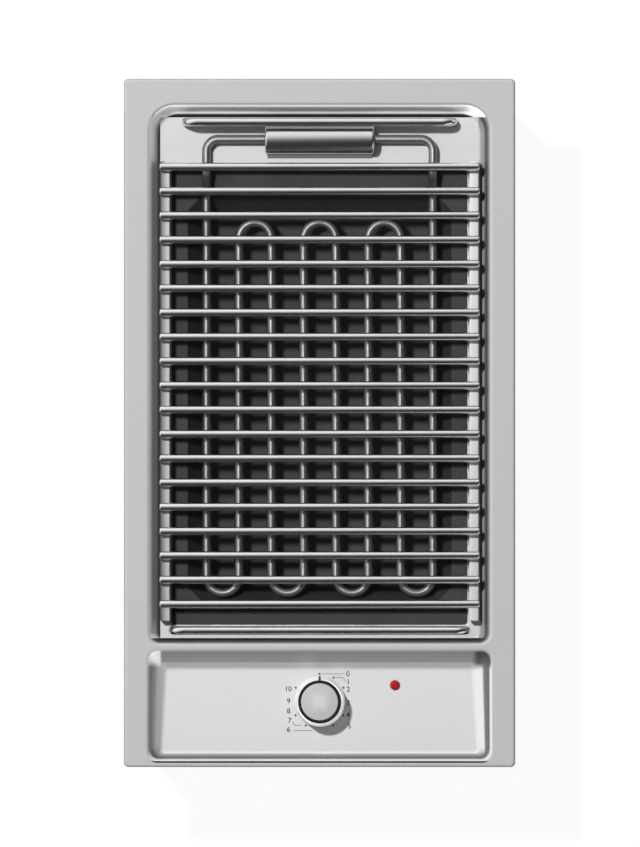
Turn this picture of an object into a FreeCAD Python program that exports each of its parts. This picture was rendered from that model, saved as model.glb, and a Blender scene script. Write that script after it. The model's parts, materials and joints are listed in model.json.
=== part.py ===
import FreeCAD, Part
import os
import re
import Sketcher
from FreeCAD import Vector

# Built-in barbecue hob, 29 cm wide, with a tip-up electric heating element under a lift-off grid.
# Millimetres. X to the right, Y to the rear, Z up. Origin: centre of the plate, on the casing's underside.

doc = FreeCAD.newDocument("barbecue_hob")
sheet = doc.addObject("Spreadsheet::Sheet", "Sizes")

driving_sizes = {
    # pressed top plate
    "plate_width": 290.0,
    "plate_length": 510.0,
    "plate_metal": 1.0,
    "plate_corner": 3.5,
    "rim_height": 6.0,
    "rim_bend": 2.2,
    "seat_height": 100.0,
    # well pressed into the plate, measured in from the edges of the plate and of the panel
    "well_side_margin": 18.9,
    "well_rear_margin": 19.4,
    "well_panel_gap": 5.7,
    "well_depth": 12.0,
    "well_side_run": 5.8,
    "well_front_run": 2.2,
    "well_rear_corner": 18.5,
    "well_front_corner": 7.5,
    "well_bend": 2.2,
    # opening in the ledge at the bottom of the well, measured in from the rim of the well
    "opening_side_ledge": 15.8,
    "opening_rear_ledge": 44.1,
    "opening_front_ledge": 12.4,
    "opening_corner": 3.0,
    "opening_lip": 4.0,
    # control panel recess: rim, crease and floor outlines
    "panel_depth": 12.0,
    "panel_side_margin": 18.0,
    "panel_length": 81.0,
    "panel_front_margin": 5.4,
    "panel_corner": 6.5,
    "panel_crease_drop": 8.5,
    "panel_crease_side": 5.4,
    "panel_crease_rear": 9.0,
    "panel_crease_front": 2.0,
    "panel_crease_taper": 1.0,
    "panel_crease_corner": 4.5,
    "panel_floor_rear_side": 13.2,
    "panel_floor_front_side": 9.5,
    "panel_floor_rear_run": 13.5,
    "panel_floor_front_run": 5.0,
    "panel_floor_corner": 3.0,
    "panel_bend": 1.4,
    # seal and casing
    "seal_width": 7.5,
    "fit_gap": 0.4,
    "casing_side_inset": 12.5,
    "casing_end_inset": 11.5,
    "casing_metal": 1.0,
    "casing_fold": 9.0,
    "base_corner": 2.0,
    "base_metal": 1.0,
    "base_rim": 13.0,
    "hanger_drop": 16.0,
    "hanger_front_inset": 103.5,
    "hanger_rear_inset": 63.5,
    "vent_length": 16.0,
    "vent_width": 3.0,
    "vent_pitch": 8.0,
    "base_vent_length": 40.0,
    "base_vent_width": 4.0,
    "base_vent_pitch": 12.0,
    "base_vent_column": 64.0,
    # tub, tray and shield under the grid
    "tub_metal": 1.0,
    "tub_wall_gap": 1.2,
    "tub_flange": 4.0,
    "tub_shelf": 8.5,
    "tray_metal": 0.8,
    "tray_drop": 18.0,
    "tray_clearance": 0.7,
    "tray_rest_gap": 0.3,
    "pan_side_inset": 12.3,
    "pan_rear_inset": 23.5,
    "pan_front_inset": 18.5,
    "pan_depth": 26.0,
    "pan_run": 12.0,
    "pan_corner": 10.0,
    "pan_bend": 3.0,
    "shield_metal": 0.8,
    "shield_air_gap": 10.0,
    "shield_side_gap": 10.5,
    "shield_rear_gap": 38.5,
    "shield_foot": 6.0,
    "wire_hole": 12.0,
    "bulkhead_inset": 2.1,
    "bulkhead_drop": 10.0,
    # grid and the two fixed stop rods
    "bar_diameter": 6.2,
    "bar_side_gap": 7.4,
    "last_bar_inset": 16.3,
    "bar_count": 19,
    "first_bar_inset": 1.7,
    "rail_width": 7.2,
    "rail_height": 7.4,
    "rail_inset": 0.6,
    "rail_edge": 1.0,
    "rail_overhang": 4.2,
    "rail_front_inset": 3.5,
    "bar_end_bevel": 1.1,
    "rest_gap": 0.3,
    "rear_stop_inset": 12.6,
    "rear_stop_side_gap": 23.8,
    "front_stop_inset": 9.1,
    "front_stop_side_gap": 13.9,
    "stop_bend": 8.0,
    # heating element, a single tube folded into eight runs
    "tube_diameter": 6.4,
    "run_side_inset": 26.3,
    "pivot_inset": 25.1,
    "pivot_above_ledge": 3.5,
    "lead_bend": 9.0,
    "dip_start_run": 21.0,
    "dip_bend": 11.0,
    "dip_angle": 45.0,
    "element_drop": 15.5,
    "rear_loop_run": 73.7,
    "front_loop_inset": 36.3,
    "tube_end": 22.0,
    # cover and bearings of the element
    "cover_length": 81.2,
    "cover_width": 21.7,
    "cover_offset": 0.65,
    "cover_wall": 0.8,
    "cover_straight": 2.0,
    "cover_lip": 2.4,
    "cover_end_round": 2.0,
    "cover_tab": 6.0,
    "cover_screw_diameter": 3.0,
    "ear_metal": 2.0,
    "ear_place": 36.3,
    "ear_half": 6.2,
    "cradle_behind": 7.5,
    "lead_hole": 10.0,
    "bush_wall": 1.05,
    "bush_length": 4.0,
    "running_gap": 0.05,
    "grommet_lip": 1.2,
    "insulator_length": 7.0,
    "insulator_step": 0.6,
    "pin_length": 7.0,
    "pin_radius": 1.2,
    # control: dial regulator, knob and pilot lamp
    "knob_inset": 43.0,
    "knob_diameter": 37.6,
    "knob_neck": 32.0,
    "knob_wall": 0.8,
    "knob_cap_diameter": 27.4,
    "knob_height": 17.0,
    "knob_gap": 1.2,
    "knob_hub_radius": 5.5,
    "knob_ring_drop": 1.6,
    "knob_ring_round": 0.4,
    "knob_ring_depth": 9.0,
    "knob_disc": 2.0,
    "knob_cap_metal": 2.8,
    "knob_cap_edge": 1.6,
    "skirt_drop": 3.0,
    "hub_gap": 0.6,
    "hub_bore_short": 5.0,
    "shaft_diameter": 6.0,
    "regulator_width": 46.0,
    "regulator_length": 36.0,
    "regulator_height": 30.0,
    "regulator_screw_place": 13.0,
    "regulator_neck": 9.6,
    "regulator_corner": 3.0,
    "regulator_floor": 4.0,
    "flat_depth": 2.2,
    "clip_metal": 0.35,
    "tab_width": 6.3,
    "tab_metal": 0.8,
    "tab_length": 9.0,
    "tab_pitch": 11.0,
    "lamp_side": 55.8,
    "lamp_ahead": 12.2,
    "lamp_diameter": 7.5,
    "lamp_height": 1.8,
    "lamp_length": 23.0,
    "lamp_stem": 6.0,
    "lamp_socket": 8.0,
    "lamp_wall": 1.65,
    "lamp_clip_reach": 4.0,
    "lamp_clip_metal": 0.6,
    # supply side
    "cable_inset": 44.5,
    "cable_level": 25.0,
    "cable_bore": 7.8,
    "grommet_hole": 14.0,
    "block_width": 36.0,
    "block_length": 20.0,
    "block_height": 18.0,
    "block_inset": 31.5,
    "pole_pitch": 10.0,
    "pole_screw": 5.0,
    "pole_wire": 4.4,
    "pole_screw_height": 4.0,
    "grommet_flange": 2.5,
    "grommet_proud": 2.0,
    # fasteners and worktop clamps
    "screw_diameter": 4.0,
    "screw_head": 7.6,
    "screw_head_height": 2.4,
    "screw_length": 8.0,
    "upper_screw_drop": 16.0,
    "lower_screw_level": 8.0,
    "clamp_screw_drop": 44.0,
    "clamp_width": 16.0,
    "clamp_tail": 10.0,
    "clamp_metal": 1.5,
    "clamp_reach": 10.5,
    "clamp_drop": 29.0,
    "clamp_front_inset": 123.5,
    "clamp_rear_inset": 103.5,
}
for row, (name, number) in enumerate(driving_sizes.items(), start=1):
    sheet.set(f"A{row}", name)
    sheet.set(f"B{row}", str(number))
    sheet.setAlias(f"B{row}", name)
doc.recompute()

# Levels and places that several pieces share, worked out from the driving sizes.
shared = {
    "half_width": "plate_width / 2",
    "half_length": "plate_length / 2",
    "well_width": "plate_width - 2 * well_side_margin",
    "well_rear": "plate_length / 2 - well_rear_margin",
    "panel_width": "plate_width - 2 * panel_side_margin",
    "panel_front": "plate_length / 2 - panel_front_margin",
    "panel_rear": "panel_front - panel_length",
    "well_front": "panel_rear - well_panel_gap",
    "opening_width": "well_width - 2 * opening_side_ledge",
    "opening_rear": "well_rear - opening_rear_ledge",
    "opening_front": "well_front - opening_front_ledge",
    "panel_floor_rear_width": "panel_width - 2 * panel_floor_rear_side",
    "panel_floor_front_width": "panel_width - 2 * panel_floor_front_side",
    "panel_floor_rear": "panel_rear + panel_floor_rear_run",
    "panel_floor_front": "panel_front - panel_floor_front_run",
    "casing_width": "plate_width - 2 * casing_side_inset",
    "casing_length": "plate_length - 2 * casing_end_inset",
    "hanger_front": "casing_end - hanger_front_inset",
    "hanger_rear": "casing_end - hanger_rear_inset",
    "pan_width": "opening_width - 2 * pan_side_inset",
    "pan_rear": "opening_rear - pan_rear_inset",
    "pan_front": "opening_front - pan_front_inset",
    "shield_height": "pan_floor - shield_air_gap",
    "shield_width": "casing_width - 2 * shield_side_gap",
    "shield_rear": "casing_end - shield_rear_gap",
    "bulkhead_front": "well_front - bulkhead_inset",
    "bulkhead_top": "seat_height - bulkhead_drop",
    "bar_length": "well_width - 2 * bar_side_gap",
    "first_bar": "opening_rear - first_bar_inset",
    "bar_pitch": "(first_bar + opening_front - last_bar_inset) / (bar_count - 1)",
    "rail_outer": "bar_length - 2 * rail_inset",
    "rail_front": "opening_front - rail_front_inset",
    "rear_stop_place": "well_rear - rear_stop_inset",
    "rear_stop_width": "well_width - 2 * rear_stop_side_gap",
    "front_stop_place": "well_front - front_stop_inset",
    "front_stop_width": "well_width - 2 * front_stop_side_gap",
    "run_pitch": "(opening_half - run_side_inset) / 3.5",
    "pivot_place": "well_rear - pivot_inset",
    "dip_start": "pivot_place - dip_start_run",
    "rear_loop": "pivot_place - rear_loop_run",
    "front_loop": "opening_front - front_loop_inset",
    "cover_place": "pivot_place - cover_offset",
    "cradle_rear": "pivot_place + cradle_behind",
    "knob_place": "panel_front - knob_inset",
    "lamp_place": "knob_place - lamp_ahead",
    "cable_side": "casing_half - cable_inset",
    "block_place": "casing_end - block_inset",
    "upper_screw_level": "seat_height - upper_screw_drop",
    "clamp_screw_level": "seat_height - clamp_screw_drop",
    "clamp_level": "seat_height - clamp_drop",
    "clamp_front": "casing_end - clamp_front_inset",
    "clamp_rear": "casing_end - clamp_rear_inset",
    "flange_top": "seat_height + rim_height",
    "flange_under": "flange_top - plate_metal",
    "ledge_top": "flange_top - well_depth",
    "ledge_under": "ledge_top - plate_metal",
    "panel_top": "flange_top - panel_depth",
    "panel_under": "panel_top - plate_metal",
    "well_half": "well_width / 2",
    "opening_half": "opening_width / 2",
    "panel_half": "panel_width / 2",
    "crease_level": "flange_top - panel_crease_drop",
    "casing_half": "casing_width / 2",
    "casing_end": "casing_length / 2",
    "casing_inner": "casing_half - casing_metal",
    "tub_inner": "opening_half + tub_wall_gap",
    "tub_outer": "tub_inner + tub_metal",
    "tub_flange_edge": "tub_outer + tub_flange",
    "tray_top": "ledge_top - tray_drop",
    "tray_under": "tray_top - tray_metal",
    "shelf_top": "tray_under - tray_rest_gap",
    "tub_under": "shelf_top - tub_metal",
    "pan_floor": "tray_top - pan_depth",
    "rail_base": "ledge_top + rest_gap",
    "bar_radius": "bar_diameter / 2",
    "bar_level": "ledge_top + rail_height + bar_radius",
    "tube_radius": "tube_diameter / 2",
    "pivot_level": "ledge_top + pivot_above_ledge",
    "element_level": "pivot_level - element_drop",
    "run_outer": "3.5 * run_pitch",
    "lead_start": "pivot_place - lead_bend",
    "dip_straight": "(element_drop - 2 * dip_bend * (1 - cos(dip_angle * 1deg))) / sin(dip_angle * 1deg)",
    "dip_end": "dip_start - 2 * dip_bend * sin(dip_angle * 1deg) - dip_straight * cos(dip_angle * 1deg)",
    "bush_inner": "tube_radius + running_gap",
    "bush_outer": "bush_inner + bush_wall",
    "knob_base": "panel_top + knob_gap",
    "knob_top": "knob_base + knob_height",
    "knob_radius": "knob_diameter / 2",
    "neck_radius": "knob_neck / 2",
    "cap_radius": "knob_cap_diameter / 2",
    "shaft_radius": "shaft_diameter / 2",
    "regulator_base": "panel_under - regulator_height",
    "lamp_radius": "lamp_diameter / 2",
    "screw_radius": "screw_diameter / 2",
    "clamp_face": "casing_half + clamp_metal",
    "cover_front": "cover_place - cover_width / 2",
    "cover_rear": "cover_place + cover_width / 2",
    "cover_post_side": "cover_length / 3",
    "cover_post_place": "cover_front + cover_wall + cover_tab / 2",
    "cover_screw_radius": "cover_screw_diameter / 2",
}


def formula(text):
    # Turns plain words into cell references, opening up the shared values on the way.
    def open_up(match):
        word = match.group(0)
        if word in shared:
            return "(" + formula(shared[word]) + ")"
        return "Sizes." + word if word in driving_sizes else word

    return re.sub(r"(?<![\w.])[a-z]\w*", open_up, str(text))


def size(text):
    number = sheet.evalExpression(formula(text))
    return float(getattr(number, "Value", number))


def bind(item, path, text):
    item.setExpression(path, formula(text))


parts = []


def new_body(label):
    body = doc.addObject("PartDesign::Body", label)
    body.Label = label
    parts.append(body)
    return body


def origin_item(body, role):
    return [item for item in body.Origin.OriginFeatures if item.Role == role][0]


def new_sketch(body, name, plane="XY_Plane", offset="0"):
    # The offset runs along the plane's normal: up on XY, to the front on XZ, to the right on YZ.
    sketch = body.newObject("Sketcher::SketchObject", f"{body.Label}_{name}")
    sketch.AttachmentSupport = (origin_item(body, plane), [""])
    sketch.MapMode = "FlatFace"
    if str(offset) != "0":
        bind(sketch, ".AttachmentOffset.Base.z", offset)
    return sketch


def constrain(sketch, kind, arguments, text=None):
    if text is None:
        sketch.addConstraint(Sketcher.Constraint(kind, *arguments))
        return
    index = sketch.addConstraint(Sketcher.Constraint(kind, *arguments, size(text)))
    name = f"value{index}"
    sketch.renameConstraint(index, name)
    sketch.setExpression(f"Constraints.{name}", formula(text))


def pin_point(sketch, geometry, end, x, y):
    # A point on an axis is put on that axis, and any other is measured from the origin.
    if str(x) == "0":
        constrain(sketch, "PointOnObject", (geometry, end, -2))
    else:
        constrain(sketch, "DistanceX", (-1, 1, geometry, end), x)
    if str(y) == "0":
        constrain(sketch, "PointOnObject", (geometry, end, -1))
    else:
        constrain(sketch, "DistanceY", (-1, 1, geometry, end), y)


def polygon(sketch, points):
    corners = [Vector(size(x), size(y), 0) for x, y in points]
    first = sketch.GeometryCount
    count = len(corners)
    for index in range(count):
        sketch.addGeometry(Part.LineSegment(corners[index], corners[(index + 1) % count]), False)
    for index in range(count):
        constrain(sketch, "Coincident", (first + index, 2, first + (index + 1) % count, 1))
    for index, (x, y) in enumerate(points):
        pin_point(sketch, first + index, 1, x, y)


def rectangle(sketch, left, right, low, high):
    polygon(sketch, [(left, low), (right, low), (right, high), (left, high)])


def circle(sketch, x, y, radius):
    geometry = sketch.addGeometry(Part.Circle(Vector(size(x), size(y), 0), Vector(0, 0, 1), size(radius)), False)
    constrain(sketch, "Radius", (geometry,), radius)
    pin_point(sketch, geometry, 3, x, y)


def arc_between(centre, start, end):
    # Minor arc from start to end about the centre.
    middle = (start + end) * 0.5 - centre
    middle.normalize()
    return Part.Arc(start, centre + middle * start.distanceToPoint(centre), end)


def rounded_outline(sketch, low_half, high_half, low, high, low_corner, high_corner):
    # Symmetric about X = 0, with its own half width, edge and corner radius at each end.
    lw, hw, lo, hi = size(low_half), size(high_half), size(low), size(high)
    lr, hr = size(low_corner), size(high_corner)
    corners = [Vector(-lw, lo, 0), Vector(lw, lo, 0), Vector(hw, hi, 0), Vector(-hw, hi, 0)]
    radii = [lr, lr, hr, hr]
    cuts = []
    for index, corner in enumerate(corners):
        before = corners[index - 1] - corner
        after = corners[(index + 1) % 4] - corner
        half_angle = before.getAngle(after) / 2
        reach = radii[index] / tan(half_angle)
        before.normalize()
        after.normalize()
        bisector = before + after
        bisector.normalize()
        centre = corner + bisector * (radii[index] / sin(half_angle))
        cuts.append((corner + before * reach, corner + after * reach, centre))
    first = sketch.GeometryCount
    for index in range(4):
        sketch.addGeometry(Part.LineSegment(cuts[index][1], cuts[(index + 1) % 4][0]), False)
    for index in range(4):
        start, end, centre = cuts[(index + 1) % 4]
        sketch.addGeometry(arc_between(centre, start, end), False)
    for index in range(4):
        arc = first + 4 + index
        following = first + (index + 1) % 4
        turn = sketch.Geometry[arc]
        starts_first = turn.StartPoint.distanceToPoint(cuts[(index + 1) % 4][0]) < 1e-6
        near, far = (1, 2) if starts_first else (2, 1)
        constrain(sketch, "Tangent", (first + index, 2, arc, near))
        constrain(sketch, "Tangent", (arc, far, following, 1))
    constrain(sketch, "Equal", (first + 4, first + 7))
    constrain(sketch, "Equal", (first + 5, first + 6))
    constrain(sketch, "Symmetric", (first, 1, first, 2, -2))
    constrain(sketch, "Symmetric", (first + 2, 1, first + 2, 2, -2))
    constrain(sketch, "DistanceY", (-1, 1, first, 1), low)
    constrain(sketch, "DistanceY", (-1, 1, first + 2, 1), high)
    constrain(sketch, "Radius", (first + 4,), low_corner)
    constrain(sketch, "Radius", (first + 5,), high_corner)
    # Construction points where the straight sides would meet carry the two half widths.
    for side, half, level in ((first + 1, low_half, low), (first + 1, high_half, high)):
        point = sketch.addGeometry(Part.Point(Vector(size(half), size(level), 0)), True)
        pin_point(sketch, point, 1, half, level)
        constrain(sketch, "PointOnObject", (point, 1, side))


def block_outline(sketch, half, low, high, corner):
    rounded_outline(sketch, half, half, low, high, corner, corner)


def slot_outline(sketch, x, y, length, width, upright=False):
    # Round-ended slot about (x, y), along the sketch's X, or along its Y when upright.
    reach = f"({length} - {width}) / 2"
    half = f"({width}) / 2"
    cx, cy = size(x), size(y)
    r = size(half)
    a = size(reach)
    along, across = (Vector(0, 1, 0), Vector(1, 0, 0)) if upright else (Vector(1, 0, 0), Vector(0, 1, 0))
    centre = Vector(cx, cy, 0)
    ends = [centre - along * a, centre + along * a]
    first = sketch.GeometryCount
    sketch.addGeometry(Part.LineSegment(ends[0] - across * r, ends[1] - across * r), False)
    sketch.addGeometry(Part.LineSegment(ends[1] + across * r, ends[0] + across * r), False)
    sketch.addGeometry(Part.Arc(ends[1] - across * r, ends[1] + along * r, ends[1] + across * r), False)
    sketch.addGeometry(Part.Arc(ends[0] + across * r, ends[0] - along * r, ends[0] - across * r), False)
    turns = ((first + 2, first, 2, first + 1, 1), (first + 3, first + 1, 2, first, 1))
    for arc, line_in, end_in, line_out, end_out in turns:
        start = sketch.getPoint(line_in, end_in)
        near, far = (1, 2) if sketch.getPoint(arc, 1).distanceToPoint(start) < 1e-6 else (2, 1)
        constrain(sketch, "Tangent", (line_in, end_in, arc, near))
        constrain(sketch, "Tangent", (arc, far, line_out, end_out))
    constrain(sketch, "Radius", (first + 2,), half)
    shift = {True: ((x, f"{y} + {reach}"), (x, f"{y} - {reach}")), False: ((f"{x} + {reach}", y), (f"{x} - {reach}", y))}
    for arc, (px, py) in zip((first + 2, first + 3), shift[upright]):
        pin_point(sketch, arc, 3, px, py)


def sin(angle):
    return Vector(1, 0, 0).dot(FreeCAD.Rotation(Vector(0, 0, 1), Radian=angle).multVec(Vector(0, -1, 0)))


def cos(angle):
    return FreeCAD.Rotation(Vector(0, 0, 1), Radian=angle).multVec(Vector(1, 0, 0)).x


def tan(angle):
    return sin(angle) / cos(angle)


def finish(body, feature):
    body.Tip = feature
    doc.recompute()
    if "Invalid" in feature.State or "Error" in feature.State or body.Shape.isNull():
        raise RuntimeError(f"{body.Label}: {feature.Label} {feature.State}")
    return feature


def pad(body, sketch, length, reverse=False, both_ways=False):
    feature = body.newObject("PartDesign::Pad", sketch.Name + "_pad")
    feature.Profile = sketch
    feature.Reversed = reverse
    feature.SideType = "Symmetric" if both_ways else "One side"
    bind(feature, "Length", length)
    return finish(body, feature)


def pocket(body, sketch, length=None, reverse=False, both_ways=False):
    # Cuts against the sketch's normal, or along it when reversed.
    before = body.Shape.Volume
    feature = body.newObject("PartDesign::Pocket", sketch.Name + "_pocket")
    feature.Profile = sketch
    feature.Reversed = reverse
    feature.SideType = "Symmetric" if both_ways else "One side"
    if length is None:
        feature.Type = "ThroughAll"
    else:
        bind(feature, "Length", length)
    finish(body, feature)
    if body.Shape.Volume > before - 1e-3:
        raise RuntimeError(f"{sketch.Name} cuts nothing")
    return feature


def revolve(body, sketch, axis="V_Axis"):
    feature = body.newObject("PartDesign::Revolution", sketch.Name + "_turned")
    feature.Profile = sketch
    feature.ReferenceAxis = (sketch, [axis])
    feature.Angle = 360
    return finish(body, feature)


def loft(body, sketches, subtractive=False):
    kind = "SubtractiveLoft" if subtractive else "AdditiveLoft"
    feature = body.newObject("PartDesign::" + kind, sketches[0].Name + "_loft")
    feature.Profile = sketches[0]
    feature.Sections = sketches[1:]
    feature.Ruled = True
    return finish(body, feature)


def pipe(body, profile, spine):
    feature = body.newObject("PartDesign::AdditivePipe", spine.Name + "_pipe")
    feature.Profile = profile
    feature.Spine = spine
    return finish(body, feature)


def pattern(body, feature, axis, length, count):
    copies = body.newObject("PartDesign::LinearPattern", feature.Name + "_row")
    copies.Originals = [feature]
    copies.Direction = (origin_item(body, axis), [""])
    bind(copies, "Length", length)
    bind(copies, "Occurrences", count)
    return finish(body, copies)


def mirror(body, features, plane="YZ_Plane"):
    copies = body.newObject("PartDesign::Mirrored", features[0].Name + "_mirrored")
    copies.Originals = features
    copies.MirrorPlane = (origin_item(body, plane), [""])
    return finish(body, copies)


def edges_where(shape, test):
    return [f"Edge{index}" for index, edge in enumerate(shape.Edges, start=1) if test(edge)]


def round_edges(body, test, radius, kind="Fillet"):
    base = body.Tip
    names = edges_where(base.Shape, test)
    if not names:
        raise RuntimeError(f"{body.Label}: no edge to round")
    feature = body.newObject("PartDesign::" + kind, f"{body.Label}_{kind.lower()}")
    feature.Base = (base, names)
    bind(feature, "Radius" if kind == "Fillet" else "Size", radius)
    return finish(body, feature)


def at_level(edge, level):
    box = edge.BoundBox
    return abs(box.ZMin - level) < 1e-4 and abs(box.ZMax - level) < 1e-4


def inside(edge, half_x, low_y, high_y):
    box = edge.BoundBox
    return box.XMax < half_x and box.XMin > -half_x and box.YMin > low_y and box.YMax < high_y


def well_outlines(body, name, top_grow, foot_grow, top, foot):
    # Rim and foot outlines of the well, grown by the metal where they shape its outside.
    rim = new_sketch(body, name + "_rim", offset=top)
    rounded_outline(rim, f"well_half + {top_grow}", f"well_half + {top_grow}", f"-(well_front + {top_grow})",
                    f"well_rear + {top_grow}", f"well_front_corner + {top_grow}", f"well_rear_corner + {top_grow}")
    base = new_sketch(body, name + "_foot", offset=foot)
    half = f"well_half - well_side_run + {foot_grow}"
    rounded_outline(base, half, half, f"-(well_front - well_front_run + {foot_grow})",
                    f"well_rear - well_side_run + {foot_grow}", f"well_front_corner - well_front_run + {foot_grow}",
                    f"well_rear_corner - well_side_run / 2 + {foot_grow}")
    return [rim, base]


def panel_outlines(body, name, top_grow, crease_grow, floor_grow, top, crease, floor):
    # Rim, crease and floor outlines of the control recess.
    rim = new_sketch(body, name + "_rim", offset=top)
    half = f"panel_half + {top_grow}"
    rounded_outline(rim, half, half, f"-(panel_front + {top_grow})", f"-(panel_rear - {top_grow})",
                    f"panel_corner + {top_grow}", f"panel_corner + {top_grow}")
    fold = new_sketch(body, name + "_crease", offset=crease)
    rounded_outline(fold, f"panel_half - panel_crease_side + panel_crease_taper + {crease_grow}",
                    f"panel_half - panel_crease_side - panel_crease_taper + {crease_grow}",
                    f"-(panel_front - panel_crease_front + {crease_grow})",
                    f"-(panel_rear + panel_crease_rear - {crease_grow})",
                    f"panel_crease_corner + {crease_grow}", f"panel_crease_corner + {crease_grow}")
    base = new_sketch(body, name + "_floor", offset=floor)
    rounded_outline(base, f"panel_floor_front_width / 2 + {floor_grow}", f"panel_floor_rear_width / 2 + {floor_grow}",
                    f"-(panel_floor_front + {floor_grow})", f"-(panel_floor_rear - {floor_grow})",
                    f"panel_floor_corner + {floor_grow}", f"panel_floor_corner + {floor_grow}")
    return [rim, fold, base]


def build_top_plate():
    body = new_body("top_plate")
    outline = new_sketch(body, "outline", offset="seat_height")
    block_outline(outline, "half_width", "-half_length", "half_length", "plate_corner")
    pad(body, outline, "rim_height")
    round_edges(body, lambda edge: at_level(edge, size("flange_top")), "rim_bend")
    underside = new_sketch(body, "underside", offset="seat_height")
    block_outline(underside, "half_width - plate_metal", "-(half_length - plate_metal)",
                  "half_length - plate_metal", "plate_corner - plate_metal")
    pocket(body, underside, "rim_height - plate_metal", reverse=True)
    # The pressed walls slope, so their outside is offset by a little over the metal at the rim
    # and by about half of it where the slope runs on to the underside.
    loft(body, well_outlines(body, "well_outside", "1.1 * plate_metal", "0.6 * plate_metal",
                             "flange_under", "ledge_under"))
    loft(body, panel_outlines(body, "panel_outside", "1.1 * plate_metal", "1.1 * plate_metal", "0.6 * plate_metal",
                              "flange_under", "crease_level - plate_metal / 2", "panel_under"))
    lip = new_sketch(body, "lip", offset="ledge_top - opening_lip")
    block_outline(lip, "opening_half + plate_metal", "-(opening_front + plate_metal)",
                  "opening_rear + plate_metal", "opening_corner + plate_metal")
    pad(body, lip, "opening_lip - plate_metal / 2")
    loft(body, well_outlines(body, "well", "0", "0", "flange_top", "ledge_top"), subtractive=True)
    loft(body, panel_outlines(body, "panel", "0", "0", "0", "flange_top", "crease_level", "panel_top"),
         subtractive=True)
    top, ledge, panel = size("flange_top"), size("ledge_top"), size("panel_top")
    half, rear, mid, front = size("well_half") + 1, size("well_rear") + 1, -size("well_front") - 1, -size("half_length") + 2.5
    round_edges(body, lambda edge: at_level(edge, top) and inside(edge, half, mid, rear), "well_bend")
    round_edges(body, lambda edge: at_level(edge, ledge) and inside(edge, half, mid, rear), "well_bend")
    round_edges(body, lambda edge: at_level(edge, top) and inside(edge, half + 1, front, mid), "panel_bend")
    round_edges(body, lambda edge: at_level(edge, panel) and inside(edge, half, front, mid), "panel_bend")
    opening = new_sketch(body, "opening", offset="ledge_top")
    block_outline(opening, "opening_half", "-opening_front", "opening_rear", "opening_corner")
    pocket(body, opening)
    # Slots for the two ears of the bearings, and the hole that the element's wires go down through.
    bearing = new_sketch(body, "bearing_slots", offset="ledge_top")
    for side in (-1, 1):
        slot_outline(bearing, f"{side} * ear_place", "pivot_place", "2 * (ear_half + fit_gap) + bush_length / 2",
                     "bush_length + 2 * fit_gap", upright=True)
    circle(bearing, "0", "pivot_place", "lead_hole / 2")
    pocket(body, bearing)
    holes = new_sketch(body, "panel_holes", offset="panel_top")
    circle(holes, "0", "-knob_place", "shaft_radius + 2")
    for side in (-1, 1):
        circle(holes, f"{side} * regulator_screw_place", "-knob_place", "screw_radius + fit_gap / 2")
    circle(holes, "lamp_side", "-lamp_place", "lamp_radius - fit_gap")
    pocket(body, holes)
    fixing = new_sketch(body, "cover_holes", offset="ledge_top")
    for side in (-1, 1):
        circle(fixing, f"{side} * cover_post_side", "cover_post_place", "cover_screw_radius + fit_gap / 2")
    pocket(body, fixing)
    return body


def build_worktop_seal():
    body = new_body("worktop_seal")
    outline = new_sketch(body, "outline", offset="seat_height")
    edge = "(plate_metal + fit_gap)"
    block_outline(outline, f"half_width - {edge}", f"-(half_length - {edge})", f"half_length - {edge}", "plate_corner - plate_metal")
    pad(body, outline, "rim_height - plate_metal")
    hollow = new_sketch(body, "hollow", offset="seat_height")
    block_outline(hollow, f"half_width - {edge} - seal_width", "-(panel_front + 1.1 * plate_metal + fit_gap)",
                  f"half_length - {edge} - seal_width", "plate_corner - plate_metal")
    pocket(body, hollow, reverse=True)


SCREW_PLACES = ("hanger_rear - 20", "(hanger_rear - hanger_front) / 2", "-(hanger_front - 20)")
CLAMP_PLACES = ("clamp_rear", "-clamp_front")


def build_casing_side(label, side):
    # Flat side wall with its screw holes and a row of upright vents near the front.
    body = new_body(label)
    wall = new_sketch(body, "wall", "YZ_Plane", f"{side} * casing_inner")
    rectangle(wall, "-casing_end", "casing_end", "0", "flange_under")
    pad(body, wall, "casing_metal", reverse=side < 0)
    screws = new_sketch(body, "screw_holes", "YZ_Plane")
    for place in SCREW_PLACES:
        circle(screws, place, "upper_screw_level", "screw_radius + fit_gap / 4")
        circle(screws, place, "lower_screw_level", "screw_radius + fit_gap / 4")
    for place in CLAMP_PLACES:
        circle(screws, place, "clamp_screw_level", "screw_radius + fit_gap / 4")
    pocket(body, screws, both_ways=True)
    vent = new_sketch(body, "vent", "YZ_Plane")
    slot_outline(vent, "-(casing_end - 20)", "seat_height / 3", "vent_length", "vent_width", upright=True)
    pattern(body, pocket(body, vent, both_ways=True), "Y_Axis", "5 * vent_pitch", 6)


def build_casing_end(label, side, height):
    # End wall between the side walls, with a folded edge along each of them.
    body = new_body(label)
    low, high = ("casing_end - casing_metal", "casing_end") if side > 0 else ("-casing_end", "-(casing_end - casing_metal)")
    wall = new_sketch(body, "wall")
    rectangle(wall, "-casing_inner", "casing_inner", low, high)
    pad(body, wall, height)
    fold = new_sketch(body, "fold", offset="base_rim + fit_gap")
    low, high = ("casing_end - casing_fold", "casing_end") if side > 0 else ("-casing_end", "-(casing_end - casing_fold)")
    rectangle(fold, "casing_inner - casing_metal", "casing_inner", low, high)
    mirror(body, [pad(body, fold, f"{height} - (base_rim + fit_gap)")])
    if side > 0:
        cable = new_sketch(body, "cable_hole", "XZ_Plane")
        circle(cable, "cable_side", "cable_level", "grommet_hole / 2")
        pocket(body, cable)


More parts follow.
